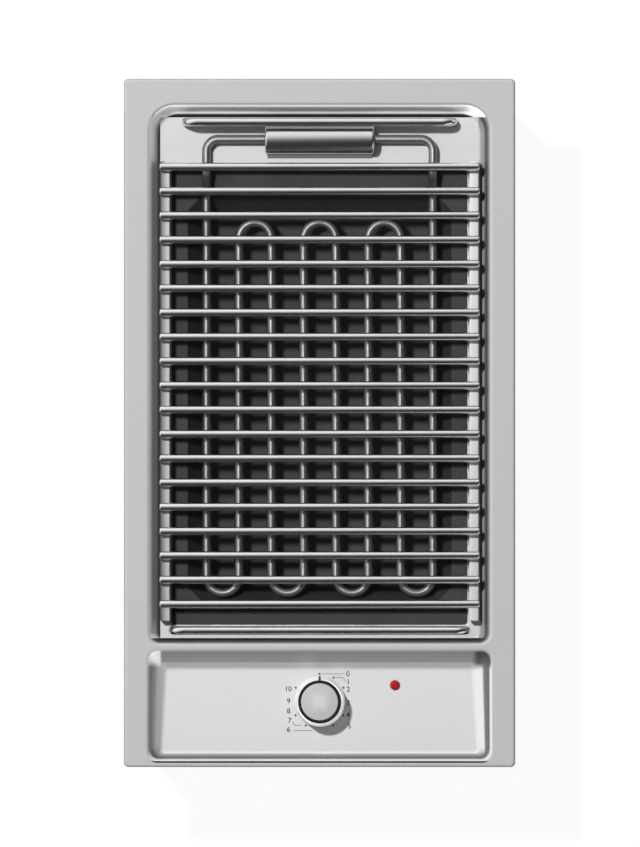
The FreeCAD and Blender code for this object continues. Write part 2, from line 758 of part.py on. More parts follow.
def build_base_cover():
    body = new_body("base_cover")
    half, end = "casing_inner - fit_gap / 2", "casing_end - casing_metal - fit_gap / 2"
    outline = new_sketch(body, "outline")
    block_outline(outline, half, f"-({end})", end, "base_corner")
    pad(body, outline, "base_rim")
    hollow = new_sketch(body, "hollow", offset="base_metal")
    block_outline(hollow, f"{half} - base_metal", f"-({end} - base_metal)", f"{end} - base_metal",
                  "base_corner / 2")
    pocket(body, hollow, reverse=True)
    holes = new_sketch(body, "screw_holes", "YZ_Plane")
    for place in SCREW_PLACES:
        circle(holes, place, "lower_screw_level", "screw_radius + running_gap")
    pocket(body, holes, both_ways=True)
    vent = new_sketch(body, "vent", offset="base_metal")
    for column in (-1, 0, 1):
        slot_outline(vent, f"{column} * base_vent_column", "-(casing_end - 30)", "base_vent_length", "base_vent_width")
    pattern(body, pocket(body, vent), "Y_Axis", "4 * base_vent_pitch", 5)


def build_hanger(label, side):
    # Folded strip under the side ledge that the casing's upper screws draw against.
    body = new_body(label)
    section = new_sketch(body, "section", "XZ_Plane", "hanger_front")
    outer, inner = f"{side} * casing_inner", f"{side} * (casing_inner - casing_metal)"
    start = f"{side} * (tub_outer + fit_gap)"
    under = "ledge_under - tub_metal"
    polygon(section, [(start, under), (outer, under), (outer, f"{under} - hanger_drop"),
                      (inner, f"{under} - hanger_drop"), (inner, f"{under} - casing_metal"),
                      (start, f"{under} - casing_metal")])
    pad(body, section, "hanger_front + hanger_rear", reverse=True)
    holes = new_sketch(body, "screw_holes", "YZ_Plane")
    for place in SCREW_PLACES:
        circle(holes, place, "upper_screw_level", "screw_radius + running_gap")
    pocket(body, holes, both_ways=True)


def turn_about_edge(body, sketch):
    # The profile's first line lies on the axis.
    feature = body.newObject("PartDesign::Revolution", sketch.Name + "_turned")
    feature.Profile = sketch
    feature.ReferenceAxis = (sketch, ["Edge1"])
    feature.Angle = 360
    return finish(body, feature)


def side_screw(body, name, place, level, face):
    # Pan-head screw driven in along X from the right, half its section turned about its axis.
    sketch = new_sketch(body, name, "XZ_Plane", f"-({place})")
    crown = f"{face} + screw_head_height"
    polygon(sketch, [(f"{face} - screw_length", level), (crown, level), (crown, f"{level} + screw_head * 0.36"),
                     (f"{face} + screw_head_height / 2", f"{level} + screw_head / 2"),
                     (face, f"{level} + screw_head / 2"), (face, f"{level} + screw_radius"),
                     (f"{face} - screw_length", f"{level} + screw_radius")])
    return turn_about_edge(body, sketch)


def build_casing_screws():
    body = new_body("casing_screws")
    turned = []
    for index, place in enumerate(SCREW_PLACES):
        turned.append(side_screw(body, f"upper{index}", place, "upper_screw_level", "casing_half"))
        turned.append(side_screw(body, f"lower{index}", place, "lower_screw_level", "casing_half"))
    for index, place in enumerate(CLAMP_PLACES):
        turned.append(side_screw(body, f"clamp{index}", place, "clamp_screw_level", "clamp_face"))
    mirror(body, turned)


def build_worktop_clamps():
    # Z-shaped strips: the leg is screwed to the casing, the toe presses up on the worktop.
    body = new_body("worktop_clamps")
    strips = []
    toe, heel = "casing_half + clamp_reach", "casing_half + clamp_reach - clamp_metal"
    for index, place in enumerate(CLAMP_PLACES):
        section = new_sketch(body, f"section{index}", "XZ_Plane", f"-({place})")
        polygon(section, [("casing_half", "clamp_screw_level - clamp_tail"), ("clamp_face", "clamp_screw_level - clamp_tail"),
                          ("clamp_face", "clamp_level - 2.6 * clamp_metal"), (toe, "clamp_level - 1.6 * clamp_metal"),
                          (toe, "clamp_level"), (heel, "clamp_level"), (heel, "clamp_level - 0.6 * clamp_metal"),
                          ("casing_half", "clamp_level - 1.6 * clamp_metal")])
        strips.append(pad(body, section, "clamp_width", both_ways=True))
    mirror(body, strips)
    holes = new_sketch(body, "holes", "YZ_Plane")
    for place in CLAMP_PLACES:
        circle(holes, place, "clamp_screw_level", "screw_radius + running_gap")
    pocket(body, holes, both_ways=True)


def build_well_tub():
    body = new_body("well_tub")
    wall = new_sketch(body, "wall", offset="tub_under")
    front, rear = "opening_front + tub_wall_gap", "opening_rear + tub_wall_gap"
    block_outline(wall, "tub_outer", f"-({front} + tub_metal)", f"{rear} + tub_metal", "opening_corner + tub_metal")
    pad(body, wall, "ledge_under - tub_under")
    flange = new_sketch(body, "flange", offset="ledge_under - tub_metal")
    edge = "tub_metal + tub_flange"
    block_outline(flange, "tub_flange_edge", f"-({front} + {edge})", f"{rear} + {edge}", f"opening_corner + {edge}")
    pad(body, flange, "tub_metal")
    hollow = new_sketch(body, "hollow", offset="shelf_top")
    block_outline(hollow, "tub_inner", f"-({front})", rear, "opening_corner")
    pocket(body, hollow, reverse=True)
    through = new_sketch(body, "through", offset="shelf_top")
    block_outline(through, "tub_inner - tub_shelf", f"-({front} - tub_shelf)", f"{rear} - tub_shelf", "opening_corner")
    pocket(body, through)


def build_heat_shield():
    body = new_body("heat_shield")
    section = new_sketch(body, "section", "XZ_Plane", "bulkhead_front")
    half, foot = "shield_width / 2", "shield_width / 2 + shield_foot"
    inner, low, high = "shield_width / 2 - shield_metal", "base_metal", "base_metal + shield_metal"
    right = [(inner, low), (foot, low), (foot, high), (half, high), (half, "shield_height")]
    left = [(f"-({x})", y) for x, y in reversed(right)]
    under = [(f"-({inner})", "shield_height - shield_metal"), (inner, "shield_height - shield_metal")]
    polygon(section, right + left + under)
    pad(body, section, "bulkhead_front + shield_rear", reverse=True)
    bulkhead = new_sketch(body, "bulkhead", "XZ_Plane", "bulkhead_front - shield_metal")
    rectangle(bulkhead, f"-({half})", half, "shield_height - shield_metal", "bulkhead_top")
    pad(body, bulkhead, "shield_metal")
    hole = new_sketch(body, "wire_hole", "XZ_Plane", "bulkhead_front")
    circle(hole, "lamp_side", "shield_height + wire_hole", "wire_hole / 2")
    pocket(body, hole, both_ways=True)


def path(sketch, start, steps, closed=False):
    # Chain of lines and arcs. Each arc leaves the line before it without a kink, so its end fixes its radius.
    at = Vector(size(start[0]), size(start[1]), 0)
    first = sketch.GeometryCount
    heading = None
    for kind, x, y in steps:
        to = Vector(size(x), size(y), 0)
        if kind == "line":
            sketch.addGeometry(Part.LineSegment(at, to), False)
            heading = to - at
            heading.normalize()
        else:
            chord = to - at
            normal = Vector(-heading.y, heading.x, 0)
            radius = chord.Length ** 2 / (2 * chord.dot(normal))
            centre = at + normal * radius
            out = (at + to) * 0.5 - centre
            if out.Length < 1e-6:
                out = Vector(heading)
            out.normalize()
            sketch.addGeometry(Part.Arc(at, centre + out * abs(radius), to), False)
            spoke = to - centre
            spoke.normalize()
            turn = 1 if radius > 0 else -1
            heading = Vector(-spoke.y, spoke.x, 0) * turn
        at = to
    count = len(steps)
    ends = []
    at = Vector(size(start[0]), size(start[1]), 0)
    for index in range(count):
        near = 1 if sketch.getPoint(first + index, 1).distanceToPoint(at) < 1e-6 else 2
        ends.append((near, 3 - near))
        at = sketch.getPoint(first + index, 3 - near)
    for index in range(count - (0 if closed else 1)):
        following = (index + 1) % count
        kind = "Tangent" if steps[following][0] == "arc" else "Coincident"
        constrain(sketch, kind, (first + index, ends[index][1], first + following, ends[following][0]))
    if not closed:
        pin_point(sketch, first, ends[0][0], *start)
    for index, (kind, x, y) in enumerate(steps):
        pin_point(sketch, first + index, ends[index][1], x, y)


def build_stop_rod(label, place, width):
    # Bent rod whose two legs stand on the ledge.
    body = new_body(label)
    leg, turn, high = f"{width} / 2 - bar_radius", f"{width} / 2 - bar_radius - stop_bend", "bar_level - stop_bend"
    spine = new_sketch(body, "spine", "XZ_Plane", f"-({place})")
    path(spine, (f"-({leg})", "ledge_top"),
         [("line", f"-({leg})", high), ("arc", f"-({turn})", "bar_level"), ("line", turn, "bar_level"),
          ("arc", leg, high), ("line", leg, "ledge_top")])
    profile = new_sketch(body, "profile", offset="ledge_top")
    circle(profile, f"-({leg})", place, "bar_radius")
    pipe(body, profile, spine)


def build_element_cover():
    # Half-round cover with closed ends, notched where the tube comes out, and a lip along its front.
    body = new_body("element_cover")
    straight = "ledge_top + cover_straight"
    outside = new_sketch(body, "outside", "YZ_Plane")
    path(outside, ("cover_front", "ledge_top"),
         [("line", "cover_front", straight), ("arc", "cover_rear", straight), ("line", "cover_rear", "ledge_top"),
          ("line", "cover_front", "ledge_top")], closed=True)
    pad(body, outside, "cover_length", both_ways=True)
    half = size("cover_length / 2")
    low = size(straight) - 1e-3
    round_edges(body, lambda edge: abs(abs(edge.CenterOfMass.x) - half) < 1e-4 and edge.BoundBox.ZMin > low - size("cover_straight")
                and edge.BoundBox.ZMax > low, "cover_end_round")
    inside_sketch = new_sketch(body, "inside", "YZ_Plane")
    front, rear = "cover_front + cover_wall", "cover_rear - cover_wall"
    path(inside_sketch, (front, "ledge_top"),
         [("line", front, straight), ("arc", rear, straight), ("line", rear, "ledge_top"), ("line", front, "ledge_top")],
         closed=True)
    pocket(body, inside_sketch, "cover_length - 2 * cover_wall", both_ways=True)
    lip = new_sketch(body, "lip", offset="ledge_top")
    rectangle(lip, "-(cover_length / 2 - cover_end_round)", "cover_length / 2 - cover_end_round",
              "cover_front - cover_lip", "cover_front + cover_wall / 2")
    pad(body, lip, "cover_wall")
    tabs = new_sketch(body, "tabs", offset="ledge_top")
    for side in (-1, 1):
        near, far = f"{side} * cover_post_side - cover_tab / 2", f"{side} * cover_post_side + cover_tab / 2"
        rectangle(tabs, near, far, "cover_front + cover_wall / 2", "cover_front + cover_wall + cover_tab")
    pad(body, tabs, "2 * cover_wall")
    notch = new_sketch(body, "notch", "YZ_Plane")
    reach = "tube_radius + fit_gap"
    path(notch, (f"pivot_place - ({reach})", "ledge_top"),
         [("line", f"pivot_place - ({reach})", "pivot_level"), ("arc", f"pivot_place + {reach}", "pivot_level"),
          ("line", f"pivot_place + {reach}", "ledge_top"), ("line", f"pivot_place - ({reach})", "ledge_top")],
         closed=True)
    pocket(body, notch, both_ways=True)
    holes = new_sketch(body, "holes", offset="ledge_top + 2 * cover_wall")
    for side in (-1, 1):
        circle(holes, f"{side} * cover_post_side", "cover_post_place", "cover_screw_radius + running_gap")
    pocket(body, holes)


def build_element_cradle():
    # Plate under the ledge with two ears that stand up through it and hold the bushes.
    body = new_body("element_cradle")
    plate = new_sketch(body, "plate", offset="ledge_under - ear_metal")
    rounded_outline(plate, "ear_place + ear_metal / 2", "ear_place + ear_metal / 2", "cover_front - ear_metal / 2",
                    "cradle_rear", "ear_metal", "ear_metal")
    pad(body, plate, "ear_metal")
    ears = []
    for side, name in ((-1, "left"), (1, "right")):
        ear = new_sketch(body, name + "_ear", "YZ_Plane", f"{side} * ear_place")
        low = "ledge_under - ear_metal / 2"
        path(ear, ("pivot_place - ear_half", low),
             [("line", "pivot_place - ear_half", "pivot_level"), ("arc", "pivot_place + ear_half", "pivot_level"),
              ("line", "pivot_place + ear_half", low), ("line", "pivot_place - ear_half", low)], closed=True)
        ears.append(pad(body, ear, "ear_metal", both_ways=True))
    bore = new_sketch(body, "bore", "YZ_Plane")
    circle(bore, "pivot_place", "pivot_level", "bush_outer + running_gap")
    pocket(body, bore, both_ways=True)
    holes = new_sketch(body, "holes", offset="ledge_under")
    circle(holes, "0", "pivot_place", "lead_hole / 2 + 3")
    for side in (-1, 1):
        circle(holes, f"{side} * cover_post_side", "cover_post_place", "cover_screw_radius + running_gap")
    pocket(body, holes)


def build_pivot_bushes():
    # Sleeves about the element's axis, one in each ear.
    body = new_body("pivot_bushes")
    section = new_sketch(body, "section", offset="pivot_level")
    rectangle(section, "ear_place - bush_length / 2", "ear_place + bush_length / 2",
              "pivot_place + bush_inner", "pivot_place + bush_outer")
    axis = section.addGeometry(Part.LineSegment(Vector(0, size("pivot_place"), 0), Vector(1, size("pivot_place"), 0)), True)
    pin_point(section, axis, 1, "0", "pivot_place")
    pin_point(section, axis, 2, "ear_place", "pivot_place")
    turned = revolve(body, section, "Axis0")
    mirror(body, [turned])


def build_cover_screws():
    # Driven up from below through cradle and ledge into the tabs of the cover.
    body = new_body("cover_screws")
    seat = "ledge_under - ear_metal"
    head = new_sketch(body, "head", offset=seat)
    shank = new_sketch(body, "shank", offset=seat)
    for side in (-1, 1):
        circle(head, f"{side} * cover_post_side", "cover_post_place", "cover_screw_diameter * 0.92")
        circle(shank, f"{side} * cover_post_side", "cover_post_place", "cover_screw_radius")
    pad(body, head, "cover_screw_radius", reverse=True)
    pad(body, shank, f"ledge_top + 3 * cover_wall - ({seat})")


def build_lead_grommet():
    body = new_body("lead_grommet")
    section = new_sketch(body, "section", "YZ_Plane")
    bore, neck, rim = (f"pivot_place + {reach}" for reach in ("lead_hole * 0.3", "lead_hole / 2 - running_gap", "lead_hole * 0.66"))
    polygon(section, [(bore, "ledge_under - grommet_lip"), (rim, "ledge_under - grommet_lip"), (rim, "ledge_under"), (neck, "ledge_under"),
                      (neck, "ledge_top"), (rim, "ledge_top"), (rim, "ledge_top + grommet_lip"), (bore, "ledge_top + grommet_lip")])
    axis = section.addGeometry(Part.LineSegment(Vector(size("pivot_place"), 0, 0), Vector(size("pivot_place"), 1, 0)), True)
    pin_point(section, axis, 1, "pivot_place", "0")
    pin_point(section, axis, 2, "pivot_place", "ledge_under")
    revolve(body, section, "Axis0")


def build_heating_element():
    # The folded runs lie flat; outside them each lead climbs to the pivot axis and turns inwards along it.
    body = new_body("heating_element")
    spine = new_sketch(body, "runs", offset="element_level")
    steps = []
    for run in range(8):
        x = f"({run} - 3.5) * run_pitch"
        goes_front = run % 2 == 0
        if run == 7:
            steps.append(("line", x, "dip_end"))
            break
        end = "-front_loop" if goes_front else "rear_loop"
        steps.append(("line", x, end))
        steps.append(("arc", f"({run} - 2.5) * run_pitch", end))
    path(spine, ("-run_outer", "dip_end"), steps)
    profile = new_sketch(body, "run_profile", "XZ_Plane", "-(dip_end)")
    circle(profile, "-run_outer", "element_level", "tube_radius")
    pipe(body, profile, spine)
    rise = "dip_bend * (1 - cos(dip_angle * 1deg))"
    run = "dip_bend * sin(dip_angle * 1deg)"
    for side, name in ((-1, "left"), (1, "right")):
        dip = new_sketch(body, name + "_dip", "YZ_Plane", f"{side} * run_outer")
        path(dip, ("lead_start", "pivot_level"),
             [("line", "dip_start", "pivot_level"), ("arc", f"dip_start - {run}", f"pivot_level - {rise}"),
              ("line", f"dip_end + {run}", f"element_level + {rise}"), ("arc", "dip_end", "element_level")])
        dip_profile = new_sketch(body, name + "_dip_profile", "XZ_Plane", "-(lead_start)")
        circle(dip_profile, f"{side} * run_outer", "pivot_level", "tube_radius")
        pipe(body, dip_profile, dip)
        lead = new_sketch(body, name + "_lead", offset="pivot_level")
        path(lead, (f"{side} * tube_end", "pivot_place"),
             [("line", f"{side} * (run_outer - lead_bend)", "pivot_place"), ("arc", f"{side} * run_outer", "lead_start")])
        lead_profile = new_sketch(body, name + "_lead_profile", "YZ_Plane", f"{side} * tube_end")
        circle(lead_profile, "pivot_place", "pivot_level", "tube_radius")
        pipe(body, lead_profile, lead)


def build_tube_ends(label, inner, outer, radius):
    # Round pieces on the pivot axis, mirrored to both ends of the tube.
    body = new_body(label)
    section = new_sketch(body, "section", "YZ_Plane", inner)
    circle(section, "pivot_place", "pivot_level", radius)
    mirror(body, [pad(body, section, f"{outer} - ({inner})")])


def build_energy_regulator():
    body = new_body("energy_regulator")
    case = new_sketch(body, "case", offset="regulator_base")
    block_outline(case, "regulator_width / 2", "-(knob_place + regulator_length / 2)",
                  "-(knob_place - regulator_length / 2)", "regulator_corner")
    pad(body, case, "regulator_height")
    neck = new_sketch(body, "neck", offset="panel_under")
    circle(neck, "0", "-knob_place", "regulator_neck / 2")
    pad(body, neck, "plate_metal + knob_gap - fit_gap * 1.2")
    bore = new_sketch(body, "bore", offset="panel_top + knob_gap")
    circle(bore, "0", "-knob_place", "shaft_radius + running_gap")
    pocket(body, bore, "regulator_height - knob_gap")
    holes = new_sketch(body, "holes", offset="panel_under")
    for side in (-1, 1):
        circle(holes, f"{side} * regulator_screw_place", "-knob_place", "screw_radius + running_gap")
    pocket(body, holes, "screw_length")


def build_regulator_terminals():
    body = new_body("regulator_terminals")
    blades = new_sketch(body, "blades", offset="regulator_base")
    for row in (-1, 1):
        y = f"-knob_place + {row} * regulator_length / 4"
        rectangle(blades, "-1.5 * tab_pitch - tab_width / 2", "-1.5 * tab_pitch + tab_width / 2",
                  f"{y} - tab_metal / 2", f"{y} + tab_metal / 2")
    pattern(body, pad(body, blades, "tab_length", reverse=True), "X_Axis", "3 * tab_pitch", 4)


def build_regulator_screws():
    body = new_body("regulator_screws")
    for index, side in enumerate((-1, 1)):
        sketch = new_sketch(body, f"screw{index}", "XZ_Plane", "knob_place")
        x = f"{side} * regulator_screw_place"
        out = [("0", "panel_top - screw_length"), ("0", "panel_top + screw_head_height"),
               ("screw_head * 0.36", "panel_top + screw_head_height"),
               ("screw_head / 2", "panel_top + screw_head_height / 2"), ("screw_head / 2", "panel_top"),
               ("screw_radius", "panel_top"), ("screw_radius", "panel_top - screw_length")]
        polygon(sketch, [(f"{x} + {reach}", level) for reach, level in out])
        turn_about_edge(body, sketch)


def d_outline(sketch, y, radius, flat):
    # Circle on X = 0 with a flat on its rear side.
    r, f, cy = size(radius), size(flat), size(y)
    half = (r * r - f * f) ** 0.5
    sketch.addGeometry(Part.LineSegment(Vector(half, cy + f, 0), Vector(-half, cy + f, 0)), False)
    sketch.addGeometry(Part.Arc(Vector(-half, cy + f, 0), Vector(0, cy - r, 0), Vector(half, cy + f, 0)), False)
    near = 1 if sketch.getPoint(1, 1).x < 0 else 2
    constrain(sketch, "Coincident", (0, 2, 1, near))
    constrain(sketch, "Coincident", (1, 3 - near, 0, 1))
    constrain(sketch, "Horizontal", (0,))
    constrain(sketch, "Radius", (1,), radius)
    pin_point(sketch, 1, 3, "0", y)
    constrain(sketch, "DistanceY", (-1, 1, 0, 1), f"{y} + {flat}")


def build_regulator_shaft():
    body = new_body("regulator_shaft")
    shank = new_sketch(body, "round", offset="regulator_base + regulator_floor")
    circle(shank, "0", "-knob_place", "shaft_radius")
    pad(body, shank, "knob_base + hub_gap - (regulator_base + regulator_floor)")
    end = new_sketch(body, "flattened", offset="knob_base + hub_gap")
    d_outline(end, "-knob_place", "shaft_radius", "flat_depth")
    pad(body, end, "knob_height - hub_bore_short - 2 * hub_gap")


def build_knob_body():
    # Black core: hub with a D bore, disc, upstanding ring and the pointer that fills the skirt's notch.
    body = new_body("knob_body")
    section = new_sketch(body, "section", "XZ_Plane", "knob_place")
    ring, inner = "neck_radius - running_gap", "cap_radius + running_gap"
    disc = "knob_top - knob_cap_metal - knob_disc"
    edge, rim, foot = "knob_top - knob_ring_drop - knob_ring_round", "knob_top - knob_ring_drop", "knob_top - knob_ring_depth"
    polygon(section, [("0", "knob_base + hub_gap"), ("knob_hub_radius", "knob_base + hub_gap"), ("knob_hub_radius", disc),
                      (f"{inner} + 0.75 * knob_ring_round", disc), (f"{inner} + 0.75 * knob_ring_round", foot), (ring, foot),
                      (ring, edge), (f"{ring} - knob_ring_round", rim), (f"{inner} + knob_ring_round", rim),
                      (inner, edge), (inner, "knob_top - knob_cap_metal"), ("0", "knob_top - knob_cap_metal")])
    revolve(body, section)
    pointer = new_sketch(body, "pointer", "YZ_Plane")
    place = "-knob_place"
    root = f"{place} + {ring} - knob_ring_round"
    polygon(pointer, [(root, edge), (f"{place} + neck_radius + knob_wall + 2 * running_gap", "knob_top - knob_cap_metal"),
                      (f"{place} + knob_radius + 2 * running_gap", "knob_base + hub_gap"),
                      (f"{place} + knob_radius - 2 * knob_wall", "knob_base + hub_gap"), (root, "knob_top - 2 * skirt_drop")])
    pad(body, pointer, "2 * knob_wall", both_ways=True)
    bore = new_sketch(body, "bore", offset="knob_base")
    d_outline(bore, "-knob_place", "shaft_radius + running_gap", "flat_depth + clip_metal + running_gap")
    pocket(body, bore, "knob_height - hub_bore_short", reverse=True)


def build_knob_skirt():
    body = new_body("knob_skirt")
    section = new_sketch(body, "section", "XZ_Plane", "knob_place")
    high = "knob_top - skirt_drop"
    polygon(section, [("knob_radius - knob_wall", "knob_base"), ("knob_radius", "knob_base"),
                      ("neck_radius + knob_wall", high), ("neck_radius", high), ("neck_radius", "knob_top - knob_ring_depth")])
    revolve(body, section)
    notch = new_sketch(body, "notch", "YZ_Plane")
    rectangle(notch, "-knob_place + neck_radius - knob_wall", "-knob_place + knob_radius + knob_wall",
              "knob_base - knob_gap", "knob_top")
    pocket(body, notch, "2 * knob_wall + 2 * running_gap", both_ways=True)


def build_knob_cap():
    body = new_body("knob_cap")
    section = new_sketch(body, "section", "XZ_Plane", "knob_place")
    under, edge = "knob_top - knob_cap_metal", "knob_top - knob_cap_metal + knob_cap_edge"
    polygon(section, [("0", under), ("cap_radius", under), ("cap_radius", edge),
                      ("cap_radius - fit_gap", "knob_top - 2 * fit_gap"), ("cap_radius / 2", "knob_top - fit_gap / 2"),
                      ("0", "knob_top")])
    revolve(body, section)


def build_knob_clip():
    body = new_body("knob_clip")
    plate = new_sketch(body, "plate", offset="knob_base + knob_disc")
    low = "-knob_place + flat_depth + running_gap / 2"
    rectangle(plate, "-shaft_radius / 2", "shaft_radius / 2", low, f"{low} + clip_metal")
    pad(body, plate, "knob_height - knob_ring_depth")


def build_lamp():
    lens = new_body("lamp_lens")
    stem = new_sketch(lens, "stem", offset="panel_top - lamp_stem")
    circle(stem, "lamp_side", "-lamp_place", "lamp_radius - fit_gap - running_gap")
    pad(lens, stem, "lamp_stem")
    dome = new_sketch(lens, "dome", offset="panel_top")
    circle(dome, "lamp_side", "-lamp_place", "lamp_radius")
    pad(lens, dome, "lamp_height")
    top = size("panel_top + lamp_height")
    round_edges(lens, lambda edge: at_level(edge, top), "lamp_height * 0.9")
    holder = new_body("lamp_body")
    tube = new_sketch(holder, "tube", offset="panel_under")
    circle(tube, "lamp_side", "-lamp_place", "lamp_radius - fit_gap + lamp_wall")
    pad(holder, tube, "lamp_length", reverse=True)
    bore = new_sketch(holder, "bore", offset="panel_under")
    circle(bore, "lamp_side", "-lamp_place", "lamp_radius - fit_gap")
    pocket(holder, bore, "lamp_socket")
    clip = new_body("lamp_clip")
    ring = new_sketch(clip, "ring", offset="panel_under")
    circle(ring, "lamp_side", "-lamp_place", "lamp_radius + lamp_clip_reach")
    circle(ring, "lamp_side", "-lamp_place", "lamp_radius - fit_gap + lamp_wall + running_gap")
    pad(clip, ring, "lamp_clip_metal", reverse=True)


def build_terminal_block():
    body = new_body("terminal_block")
    case = new_sketch(body, "case", offset="base_metal")
    left, right = "cable_side - block_width / 2", "cable_side + block_width / 2"
    rectangle(case, left, right, "block_place - block_length / 2", "block_place + block_length / 2")
    pad(body, case, "block_height")
    wells = new_sketch(body, "wells", offset="base_metal + block_height")
    circle(wells, "cable_side - pole_pitch", "block_place", "pole_screw / 2 + 2 * running_gap")
    pattern(body, pocket(body, wells, "block_height / 2"), "X_Axis", "2 * pole_pitch", 3)
    wires = new_sketch(body, "wires", "XZ_Plane")
    circle(wires, "cable_side - pole_pitch", "base_metal + block_height / 3", "pole_wire / 2")
    pattern(body, pocket(body, wires, both_ways=True), "X_Axis", "2 * pole_pitch", 3)
    screws = new_body("terminal_screws")
    heads = new_sketch(screws, "heads", offset="base_metal + block_height / 2")
    circle(heads, "cable_side - pole_pitch", "block_place", "pole_screw / 2")
    pattern(screws, pad(screws, heads, "pole_screw_height"), "X_Axis", "2 * pole_pitch", 3)


def build_cable_grommet():
    body = new_body("cable_grommet")
    section = new_sketch(body, "section", offset="cable_level")
    bore, neck = "cable_side + cable_bore / 2", "cable_side + grommet_hole / 2 - running_gap"
    rim = "cable_side + grommet_hole / 2 + grommet_flange"
    wall = "casing_end - casing_metal"
    polygon(section, [(bore, f"{wall} - grommet_flange"), (rim, f"{wall} - grommet_flange"), (rim, wall), (neck, wall), (neck, "casing_end"),
                      (rim, "casing_end"), (f"{rim} - grommet_proud / 2", "casing_end + grommet_proud"),
                      (bore, "casing_end + grommet_proud")])
    axis = section.addGeometry(Part.LineSegment(Vector(size("cable_side"), 0, 0), Vector(size("cable_side"), 1, 0)), True)
    pin_point(section, axis, 1, "cable_side", "0")
    pin_point(section, axis, 2, "cable_side", "casing_end")
    revolve(body, section, "Axis0")


def build_drip_tray():
    # Flat rim on the tub's shelf, and a pan with sloping walls and cut corners below it.
    body = new_body("drip_tray")
    rim = new_sketch(body, "rim", offset="tray_under")
    block_outline(rim, "opening_half - tray_clearance", "-(opening_front - tray_clearance)",
                  "opening_rear - tray_clearance", "opening_corner")
    pad(body, rim, "tray_metal")

    def pan_outline(name, inset, grow, level):
        sketch = new_sketch(body, name, offset=level)
        x = f"pan_width / 2 - {inset} + {grow}"
        front, rear = f"-(pan_front - {inset} + {grow})", f"pan_rear - {inset} + {grow}"
        cut = f"(pan_corner + {grow} / 2)"
        polygon(sketch, [(f"{x} - {cut}", front), (x, f"{front} + {cut}"), (x, f"{rear} - {cut}"), (f"{x} - {cut}", rear),
                         (f"-({x} - {cut})", rear), (f"-({x})", f"{rear} - {cut}"), (f"-({x})", f"{front} + {cut}"),
                         (f"-({x} - {cut})", front)])
        return sketch

    loft(body, [pan_outline("outer_rim", "0", "tray_metal", "tray_under"),
                pan_outline("outer_floor", "pan_run", "tray_metal * 0.6", "pan_floor - tray_metal")])
    loft(body, [pan_outline("inner_rim", "0", "0", "tray_top"), pan_outline("inner_floor", "pan_run", "0", "pan_floor")],
         subtractive=True)
    floor = size("pan_floor")
    round_edges(body, lambda edge: at_level(edge, floor), "pan_bend")


def build_rail(label, side):
    body = new_body(label)
    section = new_sketch(body, "section", "XZ_Plane", "rail_front")
    outer, inner = f"{side} * rail_outer / 2", f"{side} * (rail_outer / 2 - rail_width)"
    polygon(section, [(inner, "rail_base"), (outer, "rail_base"), (outer, "ledge_top + rail_height"),
                      (inner, "ledge_top + rail_height")])
    pad(body, section, "rail_front + first_bar + rail_overhang", reverse=True)
    round_edges(body, lambda edge: edge.Length > size("rail_height") + 1, "rail_edge")


def build_bar(label, index):
    body = new_body(label)
    section = new_sketch(body, "section", "YZ_Plane")
    circle(section, f"first_bar - {index} * bar_pitch", "bar_level", "bar_radius")
    pad(body, section, "bar_length", both_ways=True)
    end = size("bar_length / 2")
    round_edges(body, lambda edge: abs(abs(edge.CenterOfMass.x) - end) < 1e-4 and edge.Curve.TypeId.endswith("Circle"),
                "bar_end_bevel", "Chamfer")


build_top_plate()
build_worktop_seal()
build_casing_side("casing_left", -1)
build_casing_side("casing_right", 1)
build_casing_end("casing_front", -1, "panel_under")
build_casing_end("casing_rear", 1, "flange_under")
build_base_cover()
build_hanger("left_hanger", -1)
build_hanger("right_hanger", 1)
build_casing_screws()
build_worktop_clamps()
build_well_tub()
build_heat_shield()
build_stop_rod("rear_stop_rod", "rear_stop_place", "rear_stop_width")
build_stop_rod("front_stop_rod", "-front_stop_place", "front_stop_width")
build_element_cover()
build_element_cradle()
build_pivot_bushes()
build_cover_screws()
build_lead_grommet()
build_heating_element()
build_tube_ends("element_insulators", "tube_end - insulator_length", "tube_end",
                "tube_radius - insulator_step")
build_tube_ends("element_pins", "tube_end - insulator_length - pin_length",
                "tube_end - insulator_length", "pin_radius")
build_energy_regulator()
build_regulator_terminals()
build_regulator_screws()
build_regulator_shaft()
build_knob_body()
build_knob_skirt()
build_knob_cap()
build_knob_clip()
build_lamp()
build_terminal_block()
build_cable_grommet()
build_drip_tray()
build_rail("grid_rail_left", -1)
build_rail("grid_rail_right", 1)
for index in range(driving_sizes["bar_count"]):
    build_bar(f"grid_bar_{index + 1:02d}", index)

for item in doc.Objects:
    if "Invalid" in item.State or "Error" in item.State:
        raise RuntimeError(f"{item.Label} failed: {item.State}")
os.makedirs("parts", exist_ok=True)
for part in parts:
    shape = part.Shape
    if shape.isNull() or not shape.isValid():
        raise RuntimeError(f"{part.Label} has no valid shape")
    shape.exportStep(f"parts/{part.Label}.step")
    print(part.Label, len(shape.Solids), "solids", round(shape.Volume), "mm3", len(shape.Faces), "faces")
